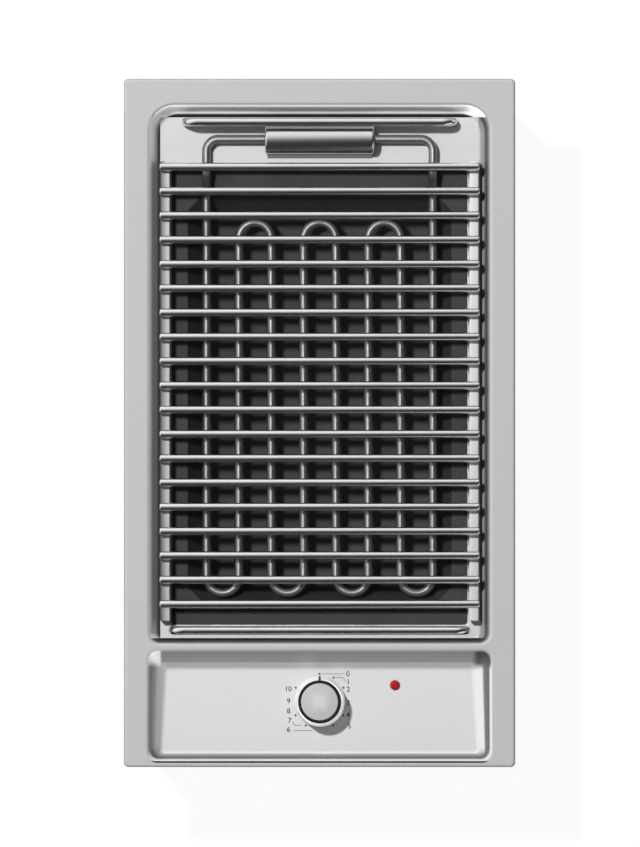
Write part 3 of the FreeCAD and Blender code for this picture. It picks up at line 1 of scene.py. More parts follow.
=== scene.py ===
import bpy
import json
import math
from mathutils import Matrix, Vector

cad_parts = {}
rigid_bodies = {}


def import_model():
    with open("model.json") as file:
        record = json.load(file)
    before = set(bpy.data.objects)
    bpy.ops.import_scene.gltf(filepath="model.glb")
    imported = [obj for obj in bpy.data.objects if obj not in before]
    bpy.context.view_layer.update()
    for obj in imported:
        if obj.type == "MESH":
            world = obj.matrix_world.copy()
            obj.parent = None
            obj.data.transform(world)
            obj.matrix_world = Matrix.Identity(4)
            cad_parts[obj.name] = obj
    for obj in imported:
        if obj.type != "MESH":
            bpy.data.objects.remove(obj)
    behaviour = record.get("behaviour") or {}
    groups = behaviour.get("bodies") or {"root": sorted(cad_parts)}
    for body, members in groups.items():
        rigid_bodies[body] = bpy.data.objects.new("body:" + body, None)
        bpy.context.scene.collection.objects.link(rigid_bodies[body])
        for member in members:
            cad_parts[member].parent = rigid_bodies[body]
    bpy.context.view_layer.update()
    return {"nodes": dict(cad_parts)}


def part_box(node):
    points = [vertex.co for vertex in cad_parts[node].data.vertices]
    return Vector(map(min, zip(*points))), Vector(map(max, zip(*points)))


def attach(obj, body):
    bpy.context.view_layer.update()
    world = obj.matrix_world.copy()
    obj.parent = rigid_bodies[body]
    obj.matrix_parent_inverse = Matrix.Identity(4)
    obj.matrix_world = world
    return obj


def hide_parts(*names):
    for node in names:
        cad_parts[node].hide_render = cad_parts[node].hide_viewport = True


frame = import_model()
nodes = frame["nodes"]
mm = 0.001


def deselectAll():
    if bpy.context.object and bpy.context.object.mode != "OBJECT":
        bpy.ops.object.mode_set(mode="OBJECT")
    bpy.ops.object.select_all(action="DESELECT")


def pickOnly(piece):
    deselectAll()
    piece.select_set(True)
    bpy.context.view_layer.objects.active = piece


def applyPlace(piece):
    pickOnly(piece)
    bpy.ops.object.transform_apply(location=True, rotation=True, scale=True)


def applyModifiers(piece):
    pickOnly(piece)
    for modifier in list(piece.modifiers):
        bpy.ops.object.modifier_apply(modifier=modifier.name)


def editAll(piece):
    pickOnly(piece)
    bpy.ops.object.mode_set(mode="EDIT")
    bpy.ops.mesh.select_all(action="SELECT")


def leaveEdit():
    bpy.ops.object.mode_set(mode="OBJECT")


def smoothShade(piece, degrees):
    pickOnly(piece)
    bpy.ops.object.shade_smooth_by_angle(angle=math.radians(degrees))


def hexToLinear(text):
    parts = [int(text[i:i + 2], 16) / 255 for i in (1, 3, 5)]
    return tuple(c / 12.92 if c <= 0.04045 else ((c + 0.055) / 1.055) ** 2.4 for c in parts) + (1.0,)


def addNode(tree, kind, inputs=None, **settings):
    node = tree.nodes.new(kind)
    for name, value in settings.items():
        setattr(node, name, value)
    for name, value in (inputs or {}).items():
        if isinstance(value, bpy.types.NodeSocket):
            tree.links.new(value, node.inputs[name])
        else:
            node.inputs[name].default_value = value
    return node


def newMaterial(name, **sockets):
    material = bpy.data.materials.new(name)
    material.use_nodes = True
    tree = material.node_tree
    tree.nodes.clear()
    shader = addNode(tree, "ShaderNodeBsdfPrincipled", sockets)
    output = addNode(tree, "ShaderNodeOutputMaterial")
    tree.links.new(shader.outputs["BSDF"], output.inputs["Surface"])
    return material, tree, shader


def grain(tree, size, stretch=(1, 1, 1), detail=3.0, offset=0.0):
    # Noise whose features are about this many millimetres wide, longer along a stretched axis.
    place = addNode(tree, "ShaderNodeTexCoord")
    scale = tuple(1 / (size * mm * s) for s in stretch)
    turned = addNode(tree, "ShaderNodeMapping", {"Vector": place.outputs["Object"], "Scale": scale,
                                                 "Location": (offset, offset, offset)})
    return addNode(tree, "ShaderNodeTexNoise", {"Vector": turned.outputs["Vector"], "Scale": 1.0, "Detail": detail})


def spread(tree, value, low, high, fromLow=0.3, fromHigh=0.7):
    node = addNode(tree, "ShaderNodeMapRange", {"Value": value, "From Min": fromLow, "From Max": fromHigh,
                                                "To Min": low, "To Max": high})
    return node.outputs["Result"]


def blendColors(tree, factor, first, second):
    # Places 0, 6, 7 and 2 are the node's factor, colours and colour result.
    return addNode(tree, "ShaderNodeMix", {0: factor, 6: first, 7: second}, data_type="RGBA").outputs[2]


def inside(tree, split, limits):
    # One where all the limits hold, each an axis, the place in mm where it starts and the place where it is full.
    share = None
    for axis, start, full in limits:
        step = addNode(tree, "ShaderNodeMapRange", {"Value": split.outputs[axis], "From Min": start * mm,
                                                    "From Max": full * mm}).outputs["Result"]
        if share is not None:
            step = addNode(tree, "ShaderNodeMath", {0: share, 1: step}, operation="MULTIPLY").outputs["Value"]
        share = step
    return share


def addRamp(tree, value, stops):
    ramp = addNode(tree, "ShaderNodeValToRGB", {"Fac": value})
    elements = ramp.color_ramp.elements
    for index, (spot, color) in enumerate(stops):
        stop = elements[index] if index < 2 else elements.new(spot)
        stop.position = spot
        stop.color = color
    return ramp.outputs["Color"]


def bump(tree, shader, height, strength, distance):
    node = addNode(tree, "ShaderNodeBump", {"Height": height, "Strength": strength, "Distance": distance * mm})
    tree.links.new(node.outputs["Normal"], shader.inputs["Normal"])


# The photograph looks straight down from far away, so a very long lens stands high above the plate. The heights are
# in metres, one pixel of the picture and the two shifts in millimetres at the plate.
camera = {"height": 12.0, "plateTop": 0.106, "pictureHeight": 847, "pixel": 0.7409, "right": 0.3, "back": -0.4}
cameraData = bpy.data.cameras.new("camera")
viewHeight = camera["pictureHeight"] * camera["pixel"] * mm
cameraData.sensor_width = 36
cameraData.lens = 36 * (camera["height"] - camera["plateTop"]) / viewHeight
cameraData.clip_start = 1
cameraData.clip_end = 100
cameraObject = bpy.data.objects.new("camera", cameraData)
cameraObject.location = (camera["right"] * mm, camera["back"] * mm, camera["height"])
bpy.context.scene.collection.objects.link(cameraObject)
bpy.context.scene.camera = cameraObject
print("camera set")


# Brushed stainless sheet, grain along X, drawn 0.35 mm wide so that it shows. The real sheet is one grey: the
# tones by height and place are painted shade and painted highlight, matched to the shading of the pressed walls, as
# this studio alone doesn't give it.
def makePlateSteel():
    floorTone, flange = "#CACACA", "#B0B0B0"
    panelFloor = ((93.0, floorTone), (94.1, floorTone))
    top = (105.9, flange)
    finish = {
        "metallic": 0.5, "roughness": (0.46, 0.54), "grain": 0.35, "cloud": 60, "heights": (92.5, 106.5),
        "matt": (("Y", 228.3, 228.5), ("Z", 105.5, 105.3)),
        # Painted shade and painted highlight, wall by wall and by height: near-black painted shadow along the feet of
        # the left and rear walls and on the front wall, white painted highlight on the left and rear walls and on one
        # corner of the control recess, painted shade on the right wall, on the dark side of the recess and on the outer
        # rim, and lighter and darker painted bands on the other recess walls.
        "tones": {
            "well": ((93.0, "#C6C6C6"), top),
            "left": ((93.0, "#2C2C2C"), (93.9, "#2C2C2C"), (94.6, "#4E4E4E"), (96.0, "#ACACAC"), (99.5, "#FFFFFF"),
                     (103.3, "#FFFFFF"), (104.6, "#E0E0E0"), top),
            "right": ((93.0, "#C6C6C6"), (93.9, "#C6C6C6"), (94.2, "#8C8C8C"), (97.5, "#848484"), (100.0, "#3A3A3A"),
                      (102.0, "#565656"), (103.5, "#747474"), top),
            "front": ((93.0, "#050505"), (94.2, "#050505"), (99.0, "#161616"), (103.0, "#444444"), top),
            "rear": ((93.0, "#1C1C1C"), (94.2, "#1C1C1C"), (95.4, "#FFFFFF"), (104.6, "#FFFFFF"), (105.3, "#8A8A8A"),
                     top),
            "panel": (*panelFloor, (94.8, "#BABABA"), (97.4, "#BABABA"), (97.8, "#A0A0A0"), (105.0, "#909090"), top),
            "panelLeft": (*panelFloor, (94.8, "#B4B4B4"), (99.0, "#B0B0B0"), (103.0, "#8A8A8A"), (105.4, "#A0A0A0"),
                          top),
            "panelPaintedHighlight": (*panelFloor, (94.8, "#FFFFFF"), (104.8, "#FFFFFF"), top),
            "panelRight": (*panelFloor, (94.6, "#C8C8C8"), (97.2, "#C8C8C8"), (98.8, "#707070"), (103.6, "#5E5E5E"),
                           (105.4, "#D4D4D4"), top),
            "panelPaintedShade": (*panelFloor, (94.8, "#6A6A6A"), (104.8, "#4A4A4A"), top),
            "panelFront": (*panelFloor, (95.2, "#8C8C8C"), (98.0, "#626262"), (101.0, "#5C5C5C"), (103.0, "#909090"),
                           (104.4, "#CACACA"), (105.4, "#C4C4C4"), top),
            "rim": ((93.0, "#5E5E5E"), (105.2, "#5E5E5E"), top)},
        # Where each painted tone holds. Later entries cover earlier ones.
        "areas": (("left", ("X", -118.0, -118.2)), ("right", ("X", 117.7, 117.9)), ("front", ("Y", -159.4, -159.6)),
                  ("rear", ("Y", 226.5, 226.7)), ("panel", ("Y", -165.0, -166.0)),
                  ("panelLeft", ("Y", -165.0, -166.0), ("X", -116.5, -118.5)),
                  ("panelPaintedHighlight", ("Y", -165.0, -166.0), ("Y", -181.0, -177.0), ("X", -117.0, -118.5)),
                  ("panelRight", ("Y", -176.0, -180.0), ("X", 110.0, 114.0)),
                  ("panelPaintedShade", ("Y", -166.0, -169.0), ("Y", -183.0, -178.0), ("X", 113.0, 117.0)),
                  ("panelFront", ("Y", -241.0, -246.0)),
                  ("rim", ("X", -141.9, -142.1)), ("rim", ("X", 141.9, 142.1)),
                  ("rim", ("Y", -253.6, -254.0)), ("rim", ("Y", 251.9, 252.1)))}
    material, tree, shader = newMaterial("satinStainless", Metallic=finish["metallic"])
    brushed = grain(tree, finish["grain"], (14, 1, 1), 2.0)
    cloud = grain(tree, finish["cloud"], (1, 1, 1), 2.0, 3.0)
    place = addNode(tree, "ShaderNodeTexCoord")
    split = addNode(tree, "ShaderNodeSeparateXYZ", {"Vector": place.outputs["Object"]})
    low, high = finish["heights"]
    level = addNode(tree, "ShaderNodeMapRange", {"Value": split.outputs["Z"], "From Min": low * mm,
                                                 "From Max": high * mm})
    paintedShading = {}
    for area, tones in finish["tones"].items():
        stops = [((height - low) / (high - low), hexToLinear(tone)) for height, tone in tones]
        paintedShading[area] = addRamp(tree, level.outputs["Result"], stops)
    color = paintedShading["well"]
    for area, *limits in finish["areas"]:
        color = blendColors(tree, inside(tree, split, limits), color, paintedShading[area])
    # The well's rear wall is pale in the photograph, so there the metal scatters more than it mirrors.
    matt = inside(tree, split, finish["matt"])
    tree.links.new(spread(tree, matt, finish["metallic"], 0.0, 0.0, 1.0), shader.inputs["Metallic"])
    tone = spread(tree, brushed.outputs["Fac"], 0.97, 1.03)
    toned = addNode(tree, "ShaderNodeVectorMath", {0: color, 1: tone}, operation="MULTIPLY")
    tree.links.new(toned.outputs["Vector"], shader.inputs["Base Color"])
    tree.links.new(spread(tree, cloud.outputs["Fac"], *finish["roughness"]), shader.inputs["Roughness"])
    bump(tree, shader, brushed.outputs["Fac"], 0.04, 0.05)
    return material


# Drawn stainless rod: polished, with faint lines left along it by the drawing die.
def makeRodSteel():
    finish = {"light": "#ECECEC", "dark": "#DEDDDB", "roughness": (0.2, 0.26), "line": 0.4, "cloud": 14}
    material, tree, shader = newMaterial("polishedRod", Metallic=1.0)
    lines = grain(tree, finish["line"], (30, 1, 1), 2.0)
    cloud = grain(tree, finish["cloud"], (1, 1, 1), 3.0, 5.0)
    color = blendColors(tree, cloud.outputs["Fac"], hexToLinear(finish["light"]), hexToLinear(finish["dark"]))
    tree.links.new(color, shader.inputs["Base Color"])
    tree.links.new(spread(tree, lines.outputs["Fac"], *finish["roughness"]), shader.inputs["Roughness"])
    bump(tree, shader, lines.outputs["Fac"], 0.05, 0.04)
    return material


# Nickel-alloy sheath of a tubular element: bright from drawing, with a faint straw tint where it has been hot.
def makeSheath():
    finish = {"bright": "#A6A6A5", "straw": "#989795", "roughness": (0.38, 0.46), "mottle": 11}
    material, tree, shader = newMaterial("nickelSheath", Metallic=0.8)
    mottle = grain(tree, finish["mottle"], (1, 1, 1), 5.0)
    speck = grain(tree, 0.8, (1, 1, 1), 2.0, 2.0)
    color = blendColors(tree, mottle.outputs["Fac"], hexToLinear(finish["bright"]), hexToLinear(finish["straw"]))
    tree.links.new(color, shader.inputs["Base Color"])
    tree.links.new(spread(tree, mottle.outputs["Fac"], *finish["roughness"]), shader.inputs["Roughness"])
    bump(tree, shader, speck.outputs["Fac"], 0.06, 0.05)
    return material


# Enamelled steel tray: dark grey glass fused to the sheet, dulled by heat, with the slight waviness of enamel.
def makeTrayEnamel():
    finish = {"ground": "#5C5C5C", "mist": "#545454", "roughness": (0.5, 0.6)}
    material, tree, shader = newMaterial("greyEnamel", **{"Metallic": 0.0, "Specular IOR Level": 0.25})
    wave = grain(tree, 6, (1, 1, 1), 2.0)
    stain = grain(tree, 45, (1, 1, 1), 4.0, 7.0)
    patch = spread(tree, stain.outputs["Fac"], 0.0, 1.0, 0.45, 0.7)
    color = blendColors(tree, patch, hexToLinear(finish["ground"]), hexToLinear(finish["mist"]))
    tree.links.new(color, shader.inputs["Base Color"])
    tree.links.new(spread(tree, stain.outputs["Fac"], *finish["roughness"]), shader.inputs["Roughness"])
    bump(tree, shader, wave.outputs["Fac"], 0.06, 0.1)
    return material


# Hot-dip galvanised sheet: zinc crystals, or spangle, about 8 mm across, each a slightly different grey.
def makeGalvanised():
    finish = {"spangle": 8.0, "light": "#B9BDC0", "dark": "#9BA0A4", "roughness": (0.3, 0.46)}
    material, tree, shader = newMaterial("galvanisedSheet", Metallic=0.95)
    place = addNode(tree, "ShaderNodeTexCoord")
    scale = 1 / (finish["spangle"] * mm)
    crystals = addNode(tree, "ShaderNodeTexVoronoi", {"Vector": place.outputs["Object"], "Scale": scale})
    split = addNode(tree, "ShaderNodeSeparateColor", {"Color": crystals.outputs["Color"]})
    color = blendColors(tree, split.outputs["Red"], hexToLinear(finish["light"]), hexToLinear(finish["dark"]))
    tree.links.new(color, shader.inputs["Base Color"])
    tree.links.new(spread(tree, split.outputs["Green"], *finish["roughness"], 0.0, 1.0), shader.inputs["Roughness"])
    bump(tree, shader, crystals.outputs["Distance"], 0.03, 0.2)
    return material


# Plain finishes that differ in colour, gloss and the size of their surface grain.
def makeGrained(name, light, dark, roughness, size, metallic=0.0, relief=0.1, depth=0.1):
    material, tree, shader = newMaterial(name, Metallic=metallic)
    fine = grain(tree, size, (1, 1, 1), 4.0)
    color = blendColors(tree, fine.outputs["Fac"], hexToLinear(light), hexToLinear(dark))
    tree.links.new(color, shader.inputs["Base Color"])
    tree.links.new(spread(tree, fine.outputs["Fac"], *roughness), shader.inputs["Roughness"])
    bump(tree, shader, fine.outputs["Fac"], relief, depth)
    return material


# Spun aluminium disc: rings left by the tool about the knob's axis, and a painted highlight, a paler middle.
def makeSpunCap(centre):
    finish = {"light": "#C2C2C2", "dark": "#AFAFAF", "pitch": 0.5, "roughness": (0.5, 0.58), "paintedHighlight": (0.5, 9.5)}
    material, tree, shader = newMaterial("spunAluminium", Metallic=0.5)
    place = addNode(tree, "ShaderNodeTexCoord")
    moved = addNode(tree, "ShaderNodeMapping", {"Vector": place.outputs["Object"],
                                                "Location": (-centre[0] * mm, -centre[1] * mm, 0)})
    scale = 1 / (finish["pitch"] * mm * 3)
    rings = addNode(tree, "ShaderNodeTexWave", {"Vector": moved.outputs["Vector"], "Scale": scale, "Distortion": 0.4,
                                                "Detail": 2.0}, wave_type="RINGS", rings_direction="Z")
    # Painted highlight: the middle shows as a paler square with soft edges.
    positive = addNode(tree, "ShaderNodeVectorMath", {0: moved.outputs["Vector"]}, operation="ABSOLUTE")
    sides = addNode(tree, "ShaderNodeSeparateXYZ", {"Vector": positive.outputs["Vector"]})
    outward = addNode(tree, "ShaderNodeMath", {0: sides.outputs["X"], 1: sides.outputs["Y"], 2: 4 * mm},
                      operation="SMOOTH_MAX")
    near, far = (reach * mm for reach in finish["paintedHighlight"])
    paintedHighlight = addNode(tree, "ShaderNodeMapRange", {"Value": outward.outputs["Value"], "From Min": near, "From Max": far},
                   interpolation_type="SMOOTHSTEP")
    color = blendColors(tree, paintedHighlight.outputs["Result"], hexToLinear(finish["light"]), hexToLinear(finish["dark"]))
    tree.links.new(color, shader.inputs["Base Color"])
    tree.links.new(spread(tree, rings.outputs["Fac"], *finish["roughness"], 0.0, 1.0), shader.inputs["Roughness"])
    bump(tree, shader, rings.outputs["Fac"], 0.05, 0.03)
    return material


# Red polycarbonate lens over a neon lamp, with a painted highlight a little left of the middle and painted shade, deep
# red, at the rim.
def makeLens(centre):
    finish = {"light": "#DA373C", "dark": "#7C1014", "glow": (0.6, 3.6), "aside": 0.9}
    material, tree, shader = newMaterial("redPolycarbonate", Roughness=0.1)
    place = addNode(tree, "ShaderNodeTexCoord")
    # Painted highlight and painted shade: the base colour is lightest a little left of the middle and darkens towards
    # the rim.
    middle = ((centre[0] - finish["aside"]) * mm, centre[1] * mm, centre[2] * mm)
    away = addNode(tree, "ShaderNodeVectorMath", {0: place.outputs["Object"], 1: middle}, operation="DISTANCE")
    near, far = (reach * mm for reach in finish["glow"])
    paintedRimShade = addNode(tree, "ShaderNodeMapRange", {"Value": away.outputs["Value"], "From Min": near, "From Max": far})
    color = blendColors(tree, paintedRimShade.outputs["Result"], hexToLinear(finish["light"]), hexToLinear(finish["dark"]))
    tree.links.new(color, shader.inputs["Base Color"])
    speckle = grain(tree, 0.4, (1, 1, 1), 2.0)
    tree.links.new(spread(tree, speckle.outputs["Fac"], 0.08, 0.14), shader.inputs["Roughness"])
    return material


# Flat stainless rails: duller than the drawn bars. The left one darkens outwards with painted shade, the shadow of the
# well's left wall.
def makeRailSteel():
    finish = {"outer": "#3A3A3A", "inner": "#D6D6D6", "edges": (-118.3, -111.6), "roughness": (0.4, 0.48)}
    material, tree, shader = newMaterial("dullRail", Metallic=0.6)
    place = addNode(tree, "ShaderNodeTexCoord")
    split = addNode(tree, "ShaderNodeSeparateXYZ", {"Vector": place.outputs["Object"]})
    outer, inner = (edge * mm for edge in finish["edges"])
    # Painted shadow: the left rail's colour goes from dark at its outer edge to light at its inner edge.
    across = addNode(tree, "ShaderNodeMapRange", {"Value": split.outputs["X"], "From Min": outer, "From Max": inner})
    color = blendColors(tree, across.outputs["Result"], hexToLinear(finish["outer"]), hexToLinear(finish["inner"]))
    drawn = grain(tree, 0.3, (1, 20, 1), 2.0)
    tone = spread(tree, drawn.outputs["Fac"], 0.96, 1.04)
    toned = addNode(tree, "ShaderNodeVectorMath", {0: color, 1: tone}, operation="MULTIPLY")
    tree.links.new(toned.outputs["Vector"], shader.inputs["Base Color"])
    tree.links.new(spread(tree, drawn.outputs["Fac"], *finish["roughness"]), shader.inputs["Roughness"])
    bump(tree, shader, drawn.outputs["Fac"], 0.04, 0.04)
    return material


knobCentre = (0.0, -206.6)
plateSteel = makePlateSteel()
rodSteel = makeRodSteel()
# Formed stainless cover: satin, with a very fine grain.
coverSteel = makeGrained("satinCover", "#E2E2E2", "#D8D8D8", (0.22, 0.26), 0.5, 1.0, 0.01, 0.01)
railSteel = makeRailSteel()
sheath = makeSheath()
trayEnamel = makeTrayEnamel()
galvanised = makeGalvanised()
spunCap = makeSpunCap(knobCentre)
# Bead-blasted and anodised aluminium skirt: pale and silky.
skirtMetal = makeGrained("anodisedSkirt", "#F0F0F0", "#E6E6E6", (0.3, 0.38), 0.6, 0.5, 0.03, 0.02)
# Phenolic moulding: black, slightly satin, with a fine spark-eroded texture.
blackMoulding = makeGrained("phenolicMoulding", "#161616", "#0E0E0E", (0.32, 0.45), 0.5, 0.0, 0.08, 0.04)
redLens = makeLens([(low + high) / 2 / mm for low, high in zip(*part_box("lamp_lens"))])
# Expanded rubber strip: matt black with open cells about 0.6 mm across.
foamRubber = makeGrained("cellularRubber", "#1D1D1D", "#111111", (0.85, 0.95), 0.6, 0.0, 0.5, 0.25)
# Moulded rubber: softer black, no cells.
mouldedRubber = makeGrained("mouldedRubber", "#1A1A1A", "#131313", (0.6, 0.72), 0.8, 0.0, 0.1, 0.05)
# Zinc-plated and passivated screws.
zincPlate = makeGrained("zincPlatedSteel", "#C2C5C6", "#A9ABA6", (0.22, 0.34), 1.5, 1.0, 0.04, 0.03)
# Turned or stamped brass, a little tarnished.
plainBrass = makeGrained("plainBrass", "#C9A860", "#A98A4A", (0.24, 0.4), 3.0, 1.0, 0.04, 0.03)
# Unglazed steatite ceramic: dry and off-white.
steatite = makeGrained("steatiteCeramic", "#E6E0D2", "#D5CEBE", (0.6, 0.75), 1.2, 0.0, 0.15, 0.05)
# Heat-resistant polyamide of the terminal block.
paleMoulding = makeGrained("polyamideMoulding", "#DEDBD0", "#CFCBBE", (0.42, 0.55), 0.8, 0.0, 0.06, 0.04)
# Screen-printed dial ink.
dialInk = makeGrained("printedInk", "#202020", "#141414", (0.5, 0.65), 0.6, 0.0, 0.05, 0.01)
print("materials made")


def dress(piece, material, body):
    piece.data.materials.clear()
    piece.data.materials.append(material)
    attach(piece, body)
    return piece


# The pressed plate. An outline is half width in front, half width behind, front edge, rear edge, front and rear corner
# radius and level, all in millimetres. Rings of it are bridged into the sheet.
plate = {
    "outline": (145.0, 145.0, -255.0, 255.0, 3.5, 3.5),
    "top": 106.0, "rimBottom": 100.0, "bend": 2.2, "metal": 1.0,
    "wellRim": (126.1, 126.1, -162.9, 235.6, 7.5, 18.5),
    "wellFoot": (120.3, 120.3, -160.7, 229.8, 5.5, 15.6),
    "ledge": 94.0,
    "opening": (110.3, 110.3, -150.5, 191.5, 3.0, 3.0), "lip": 90.0,
    "panelRim": (127.0, 127.0, -249.6, -168.6, 6.5, 6.5),
    "panelCrease": (122.6, 120.6, -247.6, -177.6, 4.5, 4.5), "creaseLevel": 97.5,
    "panelFloor": (117.5, 113.8, -244.6, -182.1, 3.0, 3.0), "floor": 94.0,
    # How far each bend reaches back and ahead, as a share of the way to the next knot.
    "softness": {"well": [(0.8, 0.36), (0.36, 0.8)], "lip": [(0.8, 0.4)],
                 "panel": [(0.8, 0.22), (0.12, 0.2), (0.3, 0.9)]},
    "cornerSteps": 12,
}


def ringPoints(outline, level, steps):
    frontHalf, rearHalf, front, rear, frontCorner, rearCorner = outline
    corners = [Vector(spot) for spot in ((-frontHalf, front), (frontHalf, front), (rearHalf, rear), (-rearHalf, rear))]
    radii = [frontCorner, frontCorner, rearCorner, rearCorner]
    points = []
    for index, corner in enumerate(corners):
        back = (corners[index - 1] - corner).normalized()
        ahead = (corners[(index + 1) % 4] - corner).normalized()
        half = back.angle(ahead) / 2
        centre = corner + (back + ahead).normalized() * (radii[index] / math.sin(half))
        start = corner + back * (radii[index] / math.tan(half)) - centre
        sweep = math.pi - 2 * half
        for step in range(steps + 1):
            a = sweep * step / steps
            x = start.x * math.cos(a) - start.y * math.sin(a)
            y = start.x * math.sin(a) + start.y * math.cos(a)
            points.append(((centre.x + x) * mm, (centre.y + y) * mm, level * mm))
    return points


def grown(outline, amount):
    frontHalf, rearHalf, front, rear, frontCorner, rearCorner = outline
    return (frontHalf + amount, rearHalf + amount, front - amount, rear + amount,
            max(frontCorner + amount, 0.3), max(rearCorner + amount, 0.3))


def softChain(knots, softness, steps):
    # Rounds each inner knot of a chain of outlines and levels with a quadratic curve.
    chain = [knots[0]]
    for index in range(1, len(knots) - 1):
        before, at, after = knots[index - 1], knots[index], knots[index + 1]
        share = softness[index - 1]
        begin = tuple(a + (b - a) * share[0] for a, b in zip(at, before))
        end = tuple(a + (b - a) * share[1] for a, b in zip(at, after))
        for step in range(steps + 1):
            way = step / steps
            chain.append(tuple((1 - way) ** 2 * p + 2 * way * (1 - way) * q + way * way * r
                               for p, q, r in zip(begin, at, end)))
    chain.append(knots[-1])
    return chain


def selectVertices(piece, indices):
    # Selects edges whose two ends are both in the list, and goes into edit mode.
    pickOnly(piece)
    bpy.ops.object.mode_set(mode="EDIT")
    bpy.ops.mesh.select_mode(type="VERT")
    bpy.ops.mesh.select_all(action="DESELECT")
    leaveEdit()
    for index in indices:
        piece.data.vertices[index].select = True
    bpy.ops.object.mode_set(mode="EDIT")
    bpy.ops.mesh.select_mode(type="EDGE")


def addRings(piece, chain, steps):
    # The first ring starts as a circle. Each next one is extruded from the last and laid onto its outline.
    first = ringPoints(chain[0][:-1], chain[0][-1], steps)
    pickOnly(piece)
    bpy.ops.object.mode_set(mode="EDIT")
    bpy.ops.mesh.select_all(action="DESELECT")
    bpy.ops.mesh.primitive_circle_add(vertices=len(first), radius=0.1, fill_type="NOTHING")
    leaveEdit()
    vertices = piece.data.vertices
    ring = list(range(len(vertices) - len(first), len(vertices)))
    for index, point in zip(ring, first):
        vertices[index].co = point
    startRing = ring
    for *outline, level in chain[1:]:
        selectVertices(piece, ring)
        bpy.ops.mesh.extrude_region_move()
        leaveEdit()
        vertices = piece.data.vertices
        places = {tuple(round(c, 7) for c in vertices[index].co): step for step, index in enumerate(ring)}
        points = ringPoints(outline, level, steps)
        nextRing = [0] * len(ring)
        for index in range(len(vertices) - len(ring), len(vertices)):
            step = places[tuple(round(c, 7) for c in vertices[index].co)]
            nextRing[step] = index
        for step, index in enumerate(nextRing):
            vertices[index].co = points[step]
        ring = nextRing
    return startRing, ring


def newPiece(name):
    mesh = bpy.data.meshes.new(name)
    piece = bpy.data.objects.new(name, mesh)
    bpy.context.scene.collection.objects.link(piece)
    pickOnly(piece)
    return piece


def buildPlate():
    piece = newPiece("pressedTop")
    p = plate
    steps = p["cornerSteps"]
    bendKnots = [p["outline"] + (p["rimBottom"],), p["outline"] + (p["top"],),
                 grown(p["outline"], -2 * p["bend"]) + (p["top"],)]
    rim = addRings(piece, softChain(bendKnots, [(p["bend"] / (p["top"] - p["rimBottom"]), 0.5)], 8), steps)
    well = [grown(p["wellRim"], 2.6) + (p["top"],), p["wellRim"] + (p["top"],), p["wellFoot"] + (p["ledge"],),
            grown(p["wellFoot"], -2.2) + (p["ledge"],)]
    wellRings = addRings(piece, softChain(well, p["softness"]["well"], 8), steps)
    lip = [grown(p["opening"], 1.6) + (p["ledge"],), p["opening"] + (p["ledge"],), p["opening"] + (p["lip"],)]
    lipRings = addRings(piece, softChain(lip, p["softness"]["lip"], 6), steps)
    panel = [grown(p["panelRim"], 2.2) + (p["top"],), p["panelRim"] + (p["top"],),
             p["panelCrease"] + (p["creaseLevel"],), p["panelFloor"] + (p["floor"],),
             grown(p["panelFloor"], -1.8) + (p["floor"],)]
    panelRings = addRings(piece, softChain(panel, p["softness"]["panel"], 7), steps)
    selectVertices(piece, rim[-1] + wellRings[0] + panelRings[0])
    bpy.ops.mesh.fill()
    leaveEdit()
    selectVertices(piece, wellRings[-1] + lipRings[0])
    bpy.ops.mesh.fill()
    leaveEdit()
    selectVertices(piece, panelRings[-1])
    bpy.ops.mesh.edge_face_add()
    leaveEdit()
    editAll(piece)
    bpy.ops.mesh.normals_make_consistent(inside=False)
    leaveEdit()
    up = [face for face in piece.data.polygons if abs(face.normal.z) > 0.99 and face.area > 1e-3]
    if up and up[0].normal.z < 0:
        editAll(piece)
        bpy.ops.mesh.flip_normals()
        leaveEdit()
    sheet = piece.modifiers.new("metal", "SOLIDIFY")
    sheet.thickness = p["metal"] * mm
    sheet.offset = -1
    applyModifiers(piece)
    smoothShade(piece, 40)
    weighted = piece.modifiers.new("normals", "WEIGHTED_NORMAL")
    weighted.keep_sharp = True
    weighted.weight = 100
    applyModifiers(piece)
    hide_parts("top_plate")
    return dress(piece, plateSteel, "hob")


buildPlate()
print("top plate built")


def startTube(name, centre, direction, radius, sides):
    # A ring square to the direction in which the tube sets out.
    along = Vector(direction).normalized()
    turn = Vector((0, 0, 1)).rotation_difference(along).to_euler()
    deselectAll()
    bpy.ops.mesh.primitive_circle_add(vertices=sides, radius=radius * mm, fill_type="NGON",
                                      location=[c * mm for c in centre], rotation=turn)
    piece = bpy.context.object
    piece.name = name
    applyPlace(piece)
    editAll(piece)
    return piece


def runOn(vector):
    bpy.ops.mesh.extrude_region_move(TRANSFORM_OT_translate={"value": [c * mm for c in vector]})


def bendOn(centre, axis, degrees, steps):
    bpy.ops.mesh.spin(steps=steps, angle=-math.radians(degrees), center=[c * mm for c in centre], axis=axis)


def endTube(piece, endBevel):
    # Rounds both end faces, then points all faces outwards.
    leaveEdit()
    editAll(piece)
    bpy.ops.mesh.remove_doubles(threshold=1e-6)
    bpy.ops.mesh.normals_make_consistent(inside=False)
    leaveEdit()
    if endBevel:
        bevel = piece.modifiers.new("end", "BEVEL")
        bevel.width = endBevel * mm
        bevel.segments = 4
        bevel.limit_method = "ANGLE"
        bevel.angle_limit = math.radians(60)
        applyModifiers(piece)
    smoothShade(piece, 50)
    return piece


